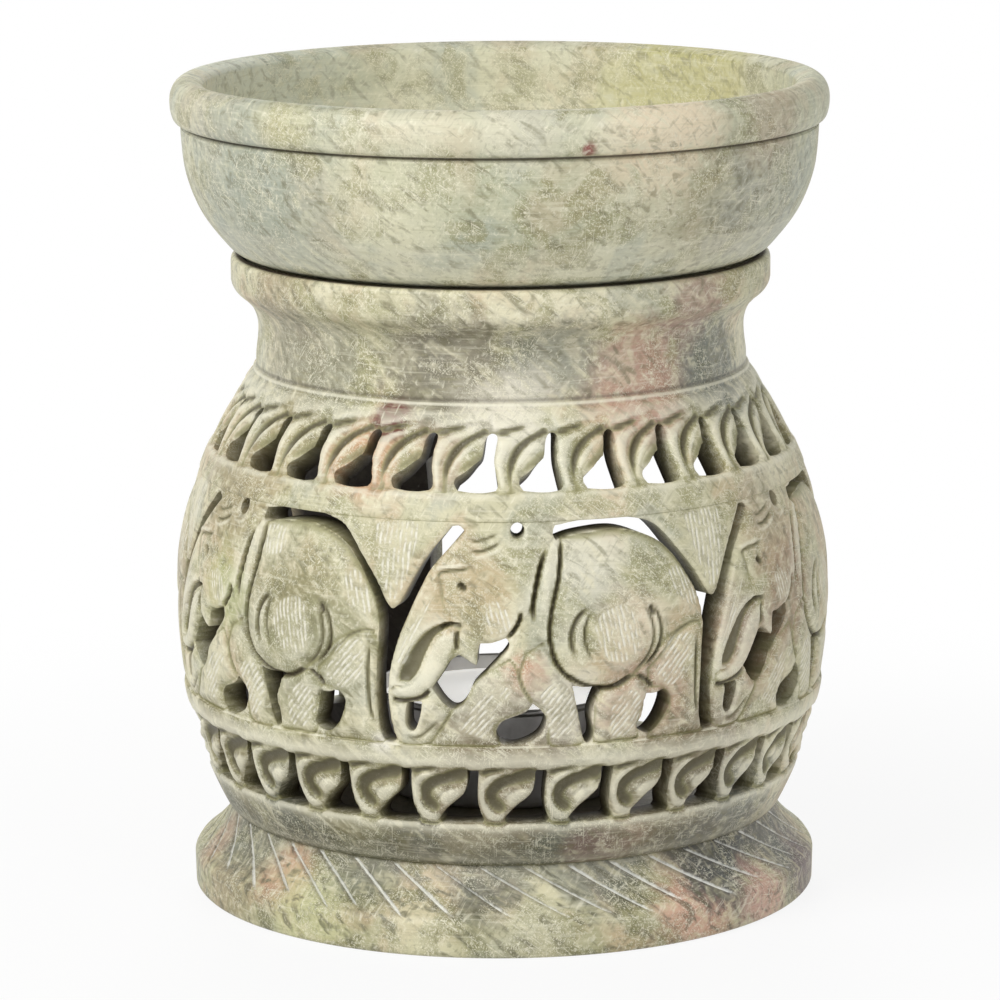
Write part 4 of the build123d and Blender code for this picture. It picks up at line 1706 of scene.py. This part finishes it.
@dataclass
class Herd:
    """The elephants of the frieze; places are measured from the line of the gap before each.

    Attributes:
        pot: the pot that they walk round.
        over_back: the long gap's edge over the back of the elephant on its left.
        along_trunk: its edge down the trunk of the elephant on its right, and its lower end.
        down_rear: its edge up the rump of the elephant on its left, and the end over the back.
        back_gap: the long gap; first_gap and last_gap are what is left of it beside the doorway.
        jaw_gap: the gap under the jaw, over the curled trunk; the others are named in the same way.
        crown_hole: middle of the round hole over the crown.
        crown_radius: its radius.
    """

    pot: Pot
    over_back: Side = (
        (-23.3, 61.9), (-19.7, 62.4), (-14.7, 62.6), (-10.2, 62.2), (-7, 61), (-4, 57.7), (-1.3, 54.3),
    )
    along_trunk: Outline = (
        ((9.9, 61.9), (11, 62), (11.9, 61.3)),
        ((11.9, 61.3), (7.4, 56.6), (5.5, 53.3), (3.8, 49.5), (2.4, 46), (1.2, 41.4), (0.9, 36.8),
         (1.4, 33.2), (1.9, 31.6)),
        ((1.9, 31.6), (0.7, 31.1), (-0.3, 31.6)),
    )
    down_rear: Outline = (
        ((-0.3, 31.6), (-0.8, 33.5), (-1, 37.2), (-0.9, 41.4), (-0.6, 45.2), (-0.6, 48.5), (-1.2, 51),
         (-2.1, 52.9), (-4.4, 56.4), (-7, 58.9), (-10.9, 60.5), (-14.7, 61), (-20.1, 60.6),
         (-23.2, 59.9)),
        ((-23.2, 59.9), (-23.6, 60.8), (-23.3, 61.9)),
    )
    back_gap: Outline = (
        (*over_back, (0.5, 51.3), (1.5, 50.4), (2.5, 51.2)),
        ((2.5, 51.2), (5.9, 57.2), (9.9, 61.9)),
        *along_trunk,
        *down_rear,
    )
    first_gap: Outline = (
        ((1.2, 50.4), (2.5, 51.2), (5.9, 57.2), (9.9, 61.9)),
        *along_trunk,
        ((-0.3, 31.6), (-0.8, 36), (-0.9, 42), (0.2, 47), (1.2, 50.4)),
    )
    last_gap: Outline = (
        (*over_back, (0.5, 51), (1.2, 46), (1.3, 38), (1.2, 32)),
        ((1.2, 32), (0.4, 31.1), (-0.3, 31.6)),
        *down_rear,
    )
    jaw_gap: Outline = (
        ((11.3, 44.4), (12.2, 43.9), (13.8, 42.8)),
        ((13.8, 42.8), (13.9, 44.4), (14.2, 46)),
        ((14.2, 46), (16, 46.1), (18.1, 46.8)),
        ((18.1, 46.8), (18.3, 45.2), (15.6, 42.3), (13.3, 40.1), (12.5, 38.5), (11.4, 37), (10.1, 36.6),
         (8.7, 37.6), (7.3, 39.5)),
        ((7.3, 39.5), (8.7, 41.4), (10, 43.4), (11.3, 44.4)),
    )
    curl_gap: Outline = (
        ((3.6, 37.2), (5.9, 37.5)),
        ((5.9, 37.5), (5.7, 35.8), (4.9, 33.5), (4.1, 33.1), (3.4, 33.9), (3.4, 35.6), (3.6, 37.2)),
    )
    leg_gap: Outline = (
        ((16.4, 33.3), (17.4, 34.8), (20.6, 36.1), (21.7, 37.3)),
        ((21.7, 37.3), (22.9, 36.3), (23.7, 34.8), (22.6, 32.5), (19.4, 31.2), (16.9, 31.7), (16.4, 33.3)),
    )
    belly_gap: Outline = (
        ((27.4, 39.7), (29.6, 39.3), (31.9, 39.4)),
        ((31.9, 39.4), (30.9, 37.4), (30.3, 35.2), (30.7, 32.6), (30.3, 31.5), (29.6, 31.2), (29, 32.4),
         (28.2, 36), (27.4, 39.7)),
    )
    hind_gap: Outline = (
        ((38.6, 37.7), (40, 37.7), (41.4, 38), (42.6, 36.9), (42.3, 35.2), (41.2, 33.2), (39.4, 31.8),
         (37.3, 32.8), (37.9, 34.6), (38.6, 37.7)),
    )
    crown_hole: Point = (19.8, 61.3)
    crown_radius: float = 1.1

    def gap(self, work: Carving, number: int) -> None:
        """Cut the long gap before an elephant, or a half of it beside the doorway.

        Args:
            work: the frieze.
            number: the elephant's number, or one more than the last one's.
        """
        halves = {0: self.first_gap, self.pot.elephants: self.last_gap}
        for near in self.pot.at_line(work, self.pot.elephant_line(number), -32, 20):
            near.pierce(halves.get(number, self.back_gap))

    def elephant(self, work: Carving, number: int) -> None:
        """Carve one elephant, from far to near, and cut the gaps inside it.

        Args:
            work: the frieze.
            number: the elephant's number.
        """
        line = self.pot.elephant_line(number)
        x, z = self.crown_hole
        ring = [
            (x + self.crown_radius * math.cos(a), z + self.crown_radius * math.sin(a))
            for a in np.linspace(0, ROUND, 13)[:-1]
        ]
        for near in self.pot.at_line(work, line, -4, 54):
            self.far_legs(near)
            self.near_legs(near)
            self.body(near)
            self.head(near)
            self.trunk(near)
            self.sawn_patches(near, number)
            for gap in (self.jaw_gap, self.curl_gap, self.leg_gap, self.belly_gap, self.hind_gap):
                near.pierce(gap)
            near.pierce(((*ring, ring[0]),))
        self.pendant(work, line)

    def pendant(self, work: Carving, line: float) -> None:
        """Saw the tongue of stone that hangs between two elephants.

        Args:
            work: the frieze.
            line: azimuth of the gap beside it.
        """
        for near in self.pot.at_line(work, line, -8, 12):
            near.hatching(
                ((-2.2, 61.9), (1.5, 62.3), (4.9, 61.9), (4, 57), (2.6, 52.6), (1.2, 51.8), (-0.2, 54.5)),
                88, 0.78,
            )

    def far_legs(self, near: Carving) -> None:
        """Carve the thigh and far hind leg, and the far foreleg.

        Args:
            near: the frieze near the elephant.
        """
        near.mound(
            ((38.4, 41.2), (41, 43.6), (43.8, 46.4), (47.2, 47.4), (48.3, 44), (48.2, 40), (48.1, 35),
             (48.9, 31.2), (44, 30.9), (39, 31.1), (41.2, 33.4), (42.4, 35.6), (41.4, 38), (39, 38.6)),
            -1, -0.35, 2.6,
        )
        near.mound(
            ((20.6, 44.6), (24.4, 46.4), (25.4, 43.2), (27.5, 40), (28.3, 36), (29.2, 31.2), (24.2, 31),
             (23.7, 34.9), (22.6, 36.8), (21, 38), (19.6, 41)), -0.9, -0.35, 2.4,
        )

    def near_legs(self, near: Carving) -> None:
        """Carve the near foreleg, the near hind leg and the crease of the far one.

        Args:
            near: the frieze near the elephant.
        """
        near.mound(
            ((18.5, 43.9), (19.4, 42.6), (20.4, 39.6), (21.5, 37.4), (20.2, 36.2), (17.3, 34.9),
             (16.3, 33.4), (16.9, 31.2), (12, 31), (6.8, 31.2), (8.6, 34), (10.2, 36.4), (12.5, 38.3),
             (13.6, 40.4), (15.9, 42.4)), -0.95, -0.2, 2.2,
        )
        near.mound(
            ((31.9, 39.5), (34.5, 39.4), (36.6, 40.6), (38, 39.6), (39, 38), (38.3, 36.2), (37.5, 34.4),
             (37.4, 31.4), (34, 31.1), (30.8, 31.2), (30.5, 33.6), (30.8, 37)), -1, -0.25, 1.9,
        )
        near.groove(((46.9, 46), (46.6, 41), (46.8, 36), (47.6, 33.2)), 0.4, 0.4, 0.2, 0.5)

    def body(self, near: Carving) -> None:
        """Carve the body, its haunch and the lines round it.

        Args:
            near: the frieze near the elephant.
        """
        near.mound(
            ((26, 60.4), (25.9, 57.5), (25.6, 54.5), (24.9, 51.5), (24.4, 49.2), (24.3, 46.4),
             (24.9, 43.6), (26.4, 41.2), (29, 39.7), (32, 39.2), (34.5, 39.6), (37, 41), (39.4, 42.8),
             (42, 45.4), (45.5, 47), (48.2, 47.4), (47.8, 50.6), (46.7, 52.9), (44.3, 56.4), (41.7, 58.9),
             (37.8, 60.5), (34, 61), (29, 60.6)), -0.9, 0.05, 5.5,
        )
        near.groove(
            ((26.3, 60.2), (26, 57.4), (25.6, 54.5), (24.8, 51.5), (24.3, 49), (24.2, 46.4),
             (24.9, 43.5), (26.3, 41.4), (28, 40.1)), 0.7, 0.46, 0.12, 0.55,
        )
        near.groove(((26.3, 41.4), (29.3, 39.6), (33, 39.2), (36.2, 40.8)), 0.5, 0.5, 0.1, 0.8)
        near.mound(
            ((33.3, 50.6), (30.2, 49.4), (29, 46.4), (30.2, 43.2), (33.3, 41.3), (36.6, 42.6),
             (38.4, 45.6), (37.6, 48.8), (35.8, 50.4)), -0.18, 0.1, 2.5, 0.6,
        )
        round_haunch = (
            (((30.4, 51), (28.4, 49.6), (27.3, 47.4), (27.3, 45.2), (28.1, 43.2)), 0.5, 0.55, 0.25, 0.6),
            (((30.9, 50.7), (29.7, 49.4), (29.1, 47.2), (29.5, 44.8), (30.5, 42.6)), 0.3, 0.32, 0.3, 0.6),
            (((38.3, 50.6), (39.3, 48.2), (39.5, 45.6), (38.4, 43), (36.2, 41)), 0.32, 0.35, 0.2, 0.6),
            (((39.4, 50.9), (40.5, 48.4), (40.8, 46), (40, 43.6), (38, 41.5)), 0.38, 0.38, 0.2, 0.7),
            (((39.2, 50.1), (39.5, 49.3)), 0.5, 0.45, 0, 0.9),
            (((37, 40.8), (38.6, 39.6), (39.6, 38.6)), 0.5, 0.45, 0.2, 0.8),
        )
        for line, *cut in round_haunch:
            near.groove(line, *cut)

    def head(self, near: Carving) -> None:
        """Carve the head, its ear and the lines of the brow and the crown.

        Args:
            near: the frieze near the elephant.
        """
        near.mound(
            ((11.8, 61.6), (15, 62.6), (20, 62.8), (24.6, 62.4), (25.2, 60.6), (24.1, 58.6), (22.7, 54.6),
             (21.9, 51.2), (20.6, 49.6), (18.3, 46.8), (14.2, 45.9), (13.7, 42.9), (11.3, 44.4),
             (10.4, 46.4), (9.6, 48.6), (6.4, 50.6), (4.4, 50.4), (5.4, 53.3), (7.3, 56.6), (9.6, 59.2)),
            -0.45, -0.08, 3.6, 0.4,
        )
        near.groove(((24.1, 59.2), (23.2, 56.9), (22.5, 54.4), (21.9, 51.6), (21.8, 50.2), (22.2, 48.2)),
                    1.1, 0.5, 0.3, 0.65)
        near.groove(((24.9, 60.2), (24.3, 56.4), (23.7, 52.6), (23.2, 49.4)), -0.18, 0.8, 0.2)
        near.groove(((21.9, 47.6), (24.1, 44.2), (26, 41.4)), 0.14, 0.5, 0.3, 0.3)
        near.groove(((20.2, 50.7), (19.8, 49), (18.9, 47.6), (17.9, 46.6)), 1, 0.45, 0.25, 0.65)
        near.groove(((11.5, 54.05), (11.95, 53.7)), 0.8, 0.62, 0, 0.75)
        near.groove(((12.9, 54.3), (13.6, 53.9)), 0.18, 0.5, 0, 0.4)
        near.groove(((13.6, 56.7), (11.6, 56.1), (9.6, 55.9), (8.3, 55.4), (8.6, 53.6), (9, 51.8)),
                    0.3, 0.38, 0.2, 0.35)
        near.groove(((12.8, 57), (10.4, 56.6), (8.2, 56.3), (7.6, 55), (7.9, 53), (8, 51.4)),
                    -0.22, 0.45, 0.2)
        near.groove(((12.4, 60.5), (13.6, 60), (15.4, 60.4), (17.2, 61.1)), 0.3, 0.34, 0.25, 0.45)
        near.groove(((12.4, 59.2), (13.8, 58.6), (15.8, 59.1), (17.6, 60.1)), 0.32, 0.36, 0.25, 0.45)
        near.groove(((12.3, 58.6), (13.8, 57.9), (16, 58.4), (18, 59.5)), -0.16, 0.4, 0.25)
        near.groove(((17.8, 60.2), (19, 59.3), (20.6, 59.3), (21.6, 60.4)), -0.16, 0.4, 0.25)

    def trunk(self, near: Carving) -> None:
        """Carve the trunk that hangs before the forehead, the tusk across it and its curled end.

        Args:
            near: the frieze near the elephant.
        """
        near.mound(
            ((7.6, 56.4), (5.4, 53.3), (3.7, 49.5), (2.3, 46), (1.1, 41.4), (1, 38.4), (4.5, 38.6),
             (7, 41), (9, 45), (10.4, 48.2), (9.2, 51.6), (8.8, 54.4)), -0.5, -0.1, 2.2, 0.35,
        )
        near.mound(
            ((2.5, 40.1), (2.6, 41.6), (4, 44.4), (6.2, 47.2), (8.4, 48.6), (10.8, 48.7), (8.2, 47),
             (6.8, 44.6), (5.6, 41.8), (4.2, 40.2)), -0.4, -1.25, 1.4, 0.3,
        )
        near.mound(
            ((11.6, 48.4), (9.6, 47.7), (8, 46.6), (6.8, 44.4), (5.6, 41.6), (4, 40), (1.9, 39.5),
             (1.3, 38.6), (2.6, 37.8), (5.6, 38.4), (7.5, 39.8), (8.9, 41.8), (10.2, 43.8), (11, 45.8)),
            -0.75, -0.05, 1.3, 0.15,
        )
        near.mound(
            ((1, 37.8), (2.2, 37.2), (5.9, 37.8), (7.4, 38.6), (8.6, 37.4), (10, 36.2), (8.6, 33.8),
             (6.8, 31.4), (3.4, 30.9), (1.7, 31.9), (1, 34.4)), -0.85, -0.2, 1.7, 0.15,
        )
        near.groove(((1.4, 37.7), (3.4, 37.5), (5.8, 38.1), (7.2, 39.3)), 0.6, 0.4, 0.1, 0.9)
        near.groove(((8.2, 47.9), (9.6, 48.7), (11.4, 48.6), (12, 48.2)), 0.5, 0.4, 0.2, 0.7)
        near.groove(((11.2, 48), (10.9, 46.6), (11.2, 44.9)), 0.4, 0.4, 0.2, 0.6)
        near.groove(((3, 32.6), (5, 32.2), (7, 33.6), (8.8, 35.4)), 0.3, 0.4, 0.3, 0.5)

    def sawn_patches(self, near: Carving, number: int) -> None:
        """Saw short lines on the trunk, the cheek, the legs, the haunch and the back.

        Args:
            near: the frieze near the elephant.
            number: the elephant's number.
        """
        patches = [
            (((2.2, 43.2), (4.4, 48), (7.2, 52.4), (6.3, 49.4), (4.6, 45.6), (3.6, 42.8)), 62, 0.62),
            (((14.4, 51), (16.4, 52), (18.3, 50.4), (18.5, 48.2), (15.6, 47.6)), 106, 0.66),
            (((11.4, 33.4), (13.6, 37.4), (16.2, 39.8), (18.8, 39.4), (16.4, 36.2), (15.4, 32.6)), 47, 0.7),
            (((22.6, 38.8), (25.2, 40.4), (27.4, 38.2), (27.8, 34), (24.6, 32.2), (23.6, 35.6)), 50, 0.72),
            (((30.2, 47.6), (32, 50), (35.6, 50.6), (37.2, 47), (36.2, 43.4), (32.6, 43.2)), 100, 0.7),
            (((33, 36.6), (35.6, 38.6), (37.8, 37), (36.6, 32.6), (33.2, 32.2)), 50, 0.7),
            (((39.6, 40.4), (42.4, 45.2), (46, 45.4), (45.6, 41), (42.6, 38.6)), 48, 0.7),
            (((42.4, 54.8), (44.6, 55.2), (47.2, 51), (46.2, 49.6), (43.6, 51.4)), 104, 0.7),
        ]
        if number == 1:
            patches.append((((26, 59.4), (28.6, 60), (31.2, 59.4), (30.8, 56.4), (26.6, 56.2)), 94, 0.8))
        for patch, lean, share in patches:
            near.hatching(patch, lean, share)


@dataclass
class Bowl:
    """The turned bowl that holds the water and the oil."""

    stone: Soapstone = BOWL_STONE
    columns: int = 378

    def build(self) -> list[Piece]:
        """Turn the bowl: flat base, round side, groove, bead, and a shallow well.

        Returns:
            The bowl.
        """
        z = SEAT_Z
        profile = Turning(0, z).to(16, z, 3).to(32.3, z, 3)
        profile.through((32.75, z + 0.12), (34.6, z + 1.9), (38.3, z + 3.15), (40.3, z + 4.85),
                        (43.6, z + 9.3), (45.7, z + 14.8), (46.35, z + 20.6), (46.2, z + 21.4), pieces=8)
        profile.through((45.95, z + 21.75), (46.1, z + 21.95), pieces=3)
        profile.through((46.9, z + 22.05), (47.5, z + 22.7), (47.85, z + 24.2), (47.8, z + 26),
                        (47.2, z + 27.4), (46.2, z + 28.2), (45.4, z + 28.38), pieces=5)
        profile.through((44.4, z + 28.1), (43.5, z + 27.7), (43, z + 27.2), pieces=4)
        profile.through((42.75, z + 24.5), (42.7, z + 20.4), (41.6, z + 14.6), (38.8, z + 9.4),
                        (35.4, z + 5.75), (33.4, z + 5.5), pieces=8)
        profile.through((24, z + 5.3), (12, z + 5.05), (0, z + 5), pieces=4)
        bowl = profile.piece("bowl_turned", self.columns, self.worn_and_shaded)
        return [finish_piece(bowl, self.stone.material(), "bowl", "bowl", "bowl_stone")]

    def worn_and_shaded(self, skin: Skin) -> None:
        """Mark the groove dark, the bead pale, and the well's side pale with painted light.

        Args:
            skin: the turned bowl's points.
        """
        away = skin.height - SEAT_Z
        bead = 0.22 * (skin.radius > 46.4) * smooth(21.9, 22.6, away)
        # The well's side is paled: painted light on the bowl's shaded inside.
        well = 0.3 * (away < 27) * (away > 4) * (skin.radius < 43.3)
        skin.marks["wear"] = bead + well
        skin.marks["grime"] = np.exp(-(((away - 21.75) / 0.22) ** 2)) * (skin.radius > 44.5) * 0.95


@dataclass
class Foot:
    """The turned foot with rays engraved on its slope.

    Attributes:
        spigot: radius of the spigot that centres the pot.
        top_radius: radius of the face that the pot stands on.
        edge: height of the foot's edge, where the slope begins.
        rays: how many rays go round.
        ray_lean: how far a ray leans on its way down, in degrees of azimuth.
        ray_width: half its width; ray_depth is its depth.
    """

    spigot: float = 32.8
    top_radius: float = 40.0
    edge: float = 5.2
    rays: int = 40
    ray_lean: float = 16.5
    ray_width: float = 0.42
    ray_depth: float = 0.42
    columns: int = 1600
    stone: Soapstone = FOOT_STONE

    def build(self) -> list[Piece]:
        """Turn the foot and engrave its rays.

        Returns:
            The foot.
        """
        profile = Turning(0, 0).to(20, 0, 2).to(45, 0, 2)
        profile.through((45.6, 0.1), (45.95, 0.5), pieces=2).to(46.05, self.edge - 0.9, 4)
        profile.through((46, self.edge - 0.3), (45.5, self.edge + 0.5), pieces=3)
        profile.through((43.9, 7), (41.8, 9.2), (self.top_radius, FOOT_TOP), pieces=7)
        profile.to(self.spigot, FOOT_TOP).to(self.spigot, SPIGOT_TOP - 0.2)
        profile.to(self.spigot - 0.2, SPIGOT_TOP).to(16, SPIGOT_TOP, 3).to(0, SPIGOT_TOP)
        foot = profile.piece("foot_engraved", self.columns, self.engraved)
        return [finish_piece(foot, self.stone.material(), "burner", "foot", "foot_stone")]

    def engraved(self, skin: Skin) -> None:
        """Cut the rays, each leaning to the right as it runs down; the columns lean with them.

        Args:
            skin: the turned foot's points.
        """
        azimuth, radius, height = skin.azimuth, skin.radius, skin.height
        share = np.clip((FOOT_TOP - height) / (FOOT_TOP - self.edge), 0, 1)
        slope = (height > self.edge - 0.1) & (radius > self.top_radius - 0.1)
        pitch = ROUND / self.rays
        number = np.floor(azimuth / pitch)
        away = (azimuth / pitch - number - 0.5) * pitch * radius
        lean = math.radians(self.ray_lean) * (1 + 0.12 * np.sin(azimuth * 7))
        skin.azimuth = azimuth + np.where(radius > self.top_radius - 0.1, lean * share, 0)
        length = 0.98 + 0.06 * np.sin(number * 78.233)
        fade = smooth(0, 0.05, share) * (1 - smooth(length - 0.2, length, share)) * slope
        cut = np.clip(1 - np.abs(away) / self.ray_width, 0, 1) * fade
        skin.radius = radius - cut * self.ray_depth * 0.6
        skin.height = height - cut * self.ray_depth * 0.8
        firm = 0.5 + 0.5 * smooth(-0.7, 0.8, azimuth)
        skin.marks["scratch"] = np.clip(1.4 - np.abs(away) / (0.4 * firm), 0, 1) * fade * firm
        # Each ray gets a dark side, and the slope next to the pot and the spigot's top inside it are
        # darkened: painted shade.
        shade = np.clip(1.2 - np.abs(away + 0.75) / 0.5, 0, 1) * fade * firm * 0.34
        shade += 0.22 * (1 - smooth(0, 0.55, share)) * slope + 0.85 * (radius < 33.5) * (height > 13)
        skin.marks["grime"] = shade


@dataclass
class Tealight:
    """The candle in its metal cup: cup, wax, wick and the sustainer that holds the wick.

    Attributes:
        wall: thickness of the cup's metal.
        lip: how far the cup's lip stands out.
        wax_top: height of the wax above the cup's floor; wick_top is the wick's.
        plate_radius: radius of the sustainer's plate; neck_radius is its neck's.
    """

    cup_radius: float = 19.0
    cup_height: float = 15.0
    wall: float = 0.3
    lip: float = 0.5
    wax_top: float = 12.5
    plate_radius: float = 7.5
    neck_radius: float = 1.3
    neck_height: float = 4.0
    wick_radius: float = 0.7
    wick_top: float = 19.5
    columns: int = 144

    def cup(self) -> Piece:
        """Draw the cup with its rolled lip.

        Returns:
            The cup.
        """
        z = SPIGOT_TOP
        side = self.cup_radius - self.lip
        top = z + self.cup_height
        profile = Turning(0, z).to(12, z, 2).to(side - 1.1, z)
        profile.through((side - 0.3, z + 0.3), (side, z + 1.1), pieces=3).to(side, top - 1.1, 12)
        profile.through((side + 0.3, top - 0.95), (side + 0.5, top - 0.5), (side + 0.3, top - 0.05),
                        (side, top), (side - 0.25, top - 0.15), pieces=4)
        profile.to(side - self.wall, top - 0.5).to(side - self.wall, z + 1.1, 10)
        profile.through((side - 0.5, z + 0.5), (side - 1.2, z + self.wall), pieces=3)
        profile.to(0, z + self.wall, 2)
        return profile.piece("tealight_cup_drawn", self.columns * 2, self.fluted)

    def fluted(self, skin: Skin) -> None:
        """Press shallow flutes into the cup's side.

        Args:
            skin: the turned cup's points.
        """
        up = (skin.height - SPIGOT_TOP) / self.cup_height
        span = smooth(0.12, 0.3, up) * (1 - smooth(0.78, 0.9, up)) * (skin.radius > self.cup_radius - 1)
        skin.radius = skin.radius - 0.07 * span * (1 + np.cos(skin.azimuth * 48))

    def wax(self) -> Piece:
        """Pour the wax, with a rim where it clings to the cup and a low rise at the wick.

        Returns:
            The wax.
        """
        z = SPIGOT_TOP
        inside = self.cup_radius - self.lip - self.wall - 0.12
        top = z + self.wax_top
        neck_top = z + 0.6 + self.neck_height
        profile = Turning(self.neck_radius + 0.02, z + 0.62).to(self.plate_radius + 0.1, z + 0.62, 2)
        profile.to(self.plate_radius + 0.1, z + 0.35).to(inside - 0.9, z + 0.35, 2).to(inside, z + 1.2)
        profile.to(inside, top + 0.32, 5)
        profile.through((inside - 0.4, top - 0.05), (inside - 2.5, top - 0.3), (10, top - 0.2),
                        (5, top + 0.1), (2.2, top + 0.35), (self.wick_radius + 0.03, top + 0.5), pieces=4)
        profile.to(self.wick_radius + 0.03, neck_top + 0.02, 3).to(self.neck_radius + 0.02, neck_top + 0.02)
        profile.to(self.neck_radius + 0.02, z + 0.62)
        return profile.piece("wax_poured", self.columns)

    def sustainer(self) -> Piece:
        """Press the plate and its neck.

        Returns:
            The sustainer.
        """
        z = SPIGOT_TOP + self.wall
        top = z + self.wall + self.neck_height
        profile = Turning(0, z).to(self.plate_radius - 0.2, z, 2).to(self.plate_radius, z + 0.15)
        profile.to(self.plate_radius - 0.2, z + 0.3).to(self.neck_radius + 0.5, z + 0.3, 2)
        profile.through((self.neck_radius + 0.1, z + 0.45), (self.neck_radius, z + 0.9), pieces=2)
        profile.to(self.neck_radius, top - 0.15, 2).to(self.neck_radius - 0.15, top)
        profile.to(self.wick_radius + 0.02, top).to(self.wick_radius + 0.02, z + 0.32, 2).to(0, z + 0.32)
        return profile.piece("wick_sustainer_pressed", 48)

    def wick(self) -> Piece:
        """Plait the wick.

        Returns:
            The wick.
        """
        low = SPIGOT_TOP + self.wall * 2 + 0.02
        high = SPIGOT_TOP + self.wick_top
        profile = Turning(0, low).to(self.wick_radius - 0.05, low + 0.05)
        profile.to(self.wick_radius - 0.05, high - 0.3, 60).to(0.3, high - 0.02).to(0, high)
        return profile.piece("wick_plaited", 24, self.plaited)

    def plaited(self, skin: Skin) -> None:
        """Draw the wick in between its strands.

        Args:
            skin: the turned wick's points.
        """
        round_it, up = 3 * skin.azimuth, 3.2 * skin.height
        twist = np.cos(round_it - up) * 0.09 + np.cos(round_it + up) * 0.05
        skin.radius = skin.radius * (0.92 + twist * (skin.radius > 0.1))

    def build(self) -> list[Piece]:
        """Make the candle's pieces and finish them.

        Returns:
            The cup, the wax, the wick and the sustainer.
        """
        steel = DrawnMetal("sustainer_steel", srgb(188, 188, 190), roughness=0.3)
        made = (
            (self.cup(), DrawnMetal("cup_aluminium"), "tealight_cup", "cup_metal"),
            (self.wax(), GlowingCandleWax("candle_wax_white_painted_glow"), "wax", "candle_wax"),
            (self.wick(), WaxedCotton("wick_cotton_waxed"), "wick", "wick_cotton"),
            (self.sustainer(), steel, "wick_sustainer", "sustainer_metal"),
        )
        return [finish_piece(piece, finish.material(), "tealight", *names) for piece, finish, *names in made]


def finish_piece(piece: Piece, material: bpy.types.Material, body: str, node: str, slot: str) -> Piece:
    """Give a piece its material and its place in the frame.

    Args:
        piece: the piece.
        material: its finish's material.
        body: the body that it rides on.
        node: the solid that it replaces.
        slot: the name of its material slot, not used.

    Returns:
        The same piece.
    """
    piece.data.materials.clear()
    piece.data.materials.append(material)
    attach(piece, body)
    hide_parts(node)
    return piece


@dataclass(frozen=True)
class Lamp:
    """A soft square lamp.

    Attributes:
        place: where it stands, in metres; aim is what it points at.
        size: its width in metres; power is in watts.
        glossy: whether it shows in reflections.
    """

    name: str
    place: Place
    aim: Place
    size: float
    power: float
    glossy: bool = True

    def build(self) -> None:
        """Set the lamp up."""
        data = bpy.data.lights.new(self.name, "AREA")
        data.shape = "SQUARE"
        data.size = self.size
        data.energy = self.power
        lamp = bpy.data.objects.new(self.name, data)
        lamp.location = self.place
        lamp.rotation_mode = "QUATERNION"
        lamp.rotation_quaternion = (Vector(self.aim) - Vector(self.place)).to_track_quat("-Z", "Y")
        lamp.visible_glossy = self.glossy
        bpy.context.scene.collection.objects.link(lamp)


@dataclass
class Studio:
    """The plain white studio and the camera that stands before the burner.

    Attributes:
        distance: how far the camera stands from the burner's axis, in millimetres.
        azimuth: how far it stands to the right, in degrees; pitch is how far it looks down.
        drift: how far the picture is shifted sideways, in pixels; image is its width.
        focal: focal length in millimetres; sensor is the sensor's width.
        sky: strength of the white background's light.
        floor_half: half the floor's width, in metres.
    """

    distance: float = 721.03
    azimuth: float = 18.76
    camera_z: float = 200.15
    pitch: float = 11.24
    roll: float = -0.35
    drift: float = -2.0
    focal: float = 179.3
    sensor: float = 36.0
    image: int = 1000
    sky: float = 0.33
    floor_half: float = 6.0
    lamps: tuple[Lamp, ...] = (
        Lamp("key", (-0.42, -0.9, 0.8), (0, 0, 0.06), 0.6, 10.4),
        Lamp("fill", (0.95, -0.6, 0.4), (0, 0, 0.05), 0.5, 3.2),
        Lamp("back", (-0.33, 0.92, 0.36), (0, 0, 0.03), 0.4, 6, glossy=False),
    )

    def camera(self) -> None:
        """Place the camera."""
        angle = math.radians(self.azimuth)
        across = (self.distance * math.sin(angle), -self.distance * math.cos(angle))
        place = Vector((*across, self.camera_z)) * MM
        data = bpy.data.cameras.new("photo_camera")
        data.lens = self.focal
        data.sensor_width = self.sensor
        data.clip_start, data.clip_end = 0.01, 20
        camera = bpy.data.objects.new("photo_camera", data)
        turn = self.drift / self.image * self.sensor / self.focal
        camera.matrix_world = (
            Matrix.Translation(place)
            @ Matrix.Rotation(angle - turn, 4, "Z")
            @ Matrix.Rotation(math.radians(90 - self.pitch), 4, "X")
            @ Matrix.Rotation(math.radians(self.roll), 4, "Z")
        )
        bpy.context.scene.collection.objects.link(camera)
        bpy.context.scene.camera = camera

    def floor(self) -> None:
        """Lay a wide white floor."""
        mesh = bpy.data.meshes.new("floor")
        half = self.floor_half
        points = [(-half, -half, 0), (half, -half, 0), (half, half, 0), (-half, half, 0)]
        mesh.from_pydata(points, [], [(0, 1, 2, 3)])
        mesh.materials.append(WhiteFloor("white_floor").material())
        floor = bpy.data.objects.new("floor", mesh)
        bpy.context.scene.collection.objects.link(floor)

    def light(self) -> None:
        """Light the burner softly from all round, with a softer key from the upper left."""
        world = bpy.data.worlds.new("studio")
        bpy.context.scene.world = world
        world.use_nodes = True
        board = Board(world.node_tree)
        strength = seen_directly(board) * (1 - self.sky) + self.sky
        background = board.node("ShaderNodeBackground", {}, {"Color": (1.0, 1.0, 1.0), "Strength": strength})
        board.node("ShaderNodeOutputWorld", {}, {"Surface": background})
        for lamp in self.lamps:
            lamp.build()
        bpy.context.scene.view_settings.view_transform = "Standard"

    def build(self) -> None:
        """Set up the floor, the light and the camera."""
        self.floor()
        self.light()
        self.camera()


def main() -> None:
    """Build the burner's looks and log how many faces each piece has."""
    logging.basicConfig(level=logging.INFO, format="%(name)s: %(message)s")
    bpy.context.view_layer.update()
    Studio().build()
    for maker in (Pot(), Bowl(), Foot(), Tealight()):
        for piece in maker.build():
            LOG.info("%s: %d faces", piece.name, len(piece.data.polygons))


if __name__ == "__main__":
    main()
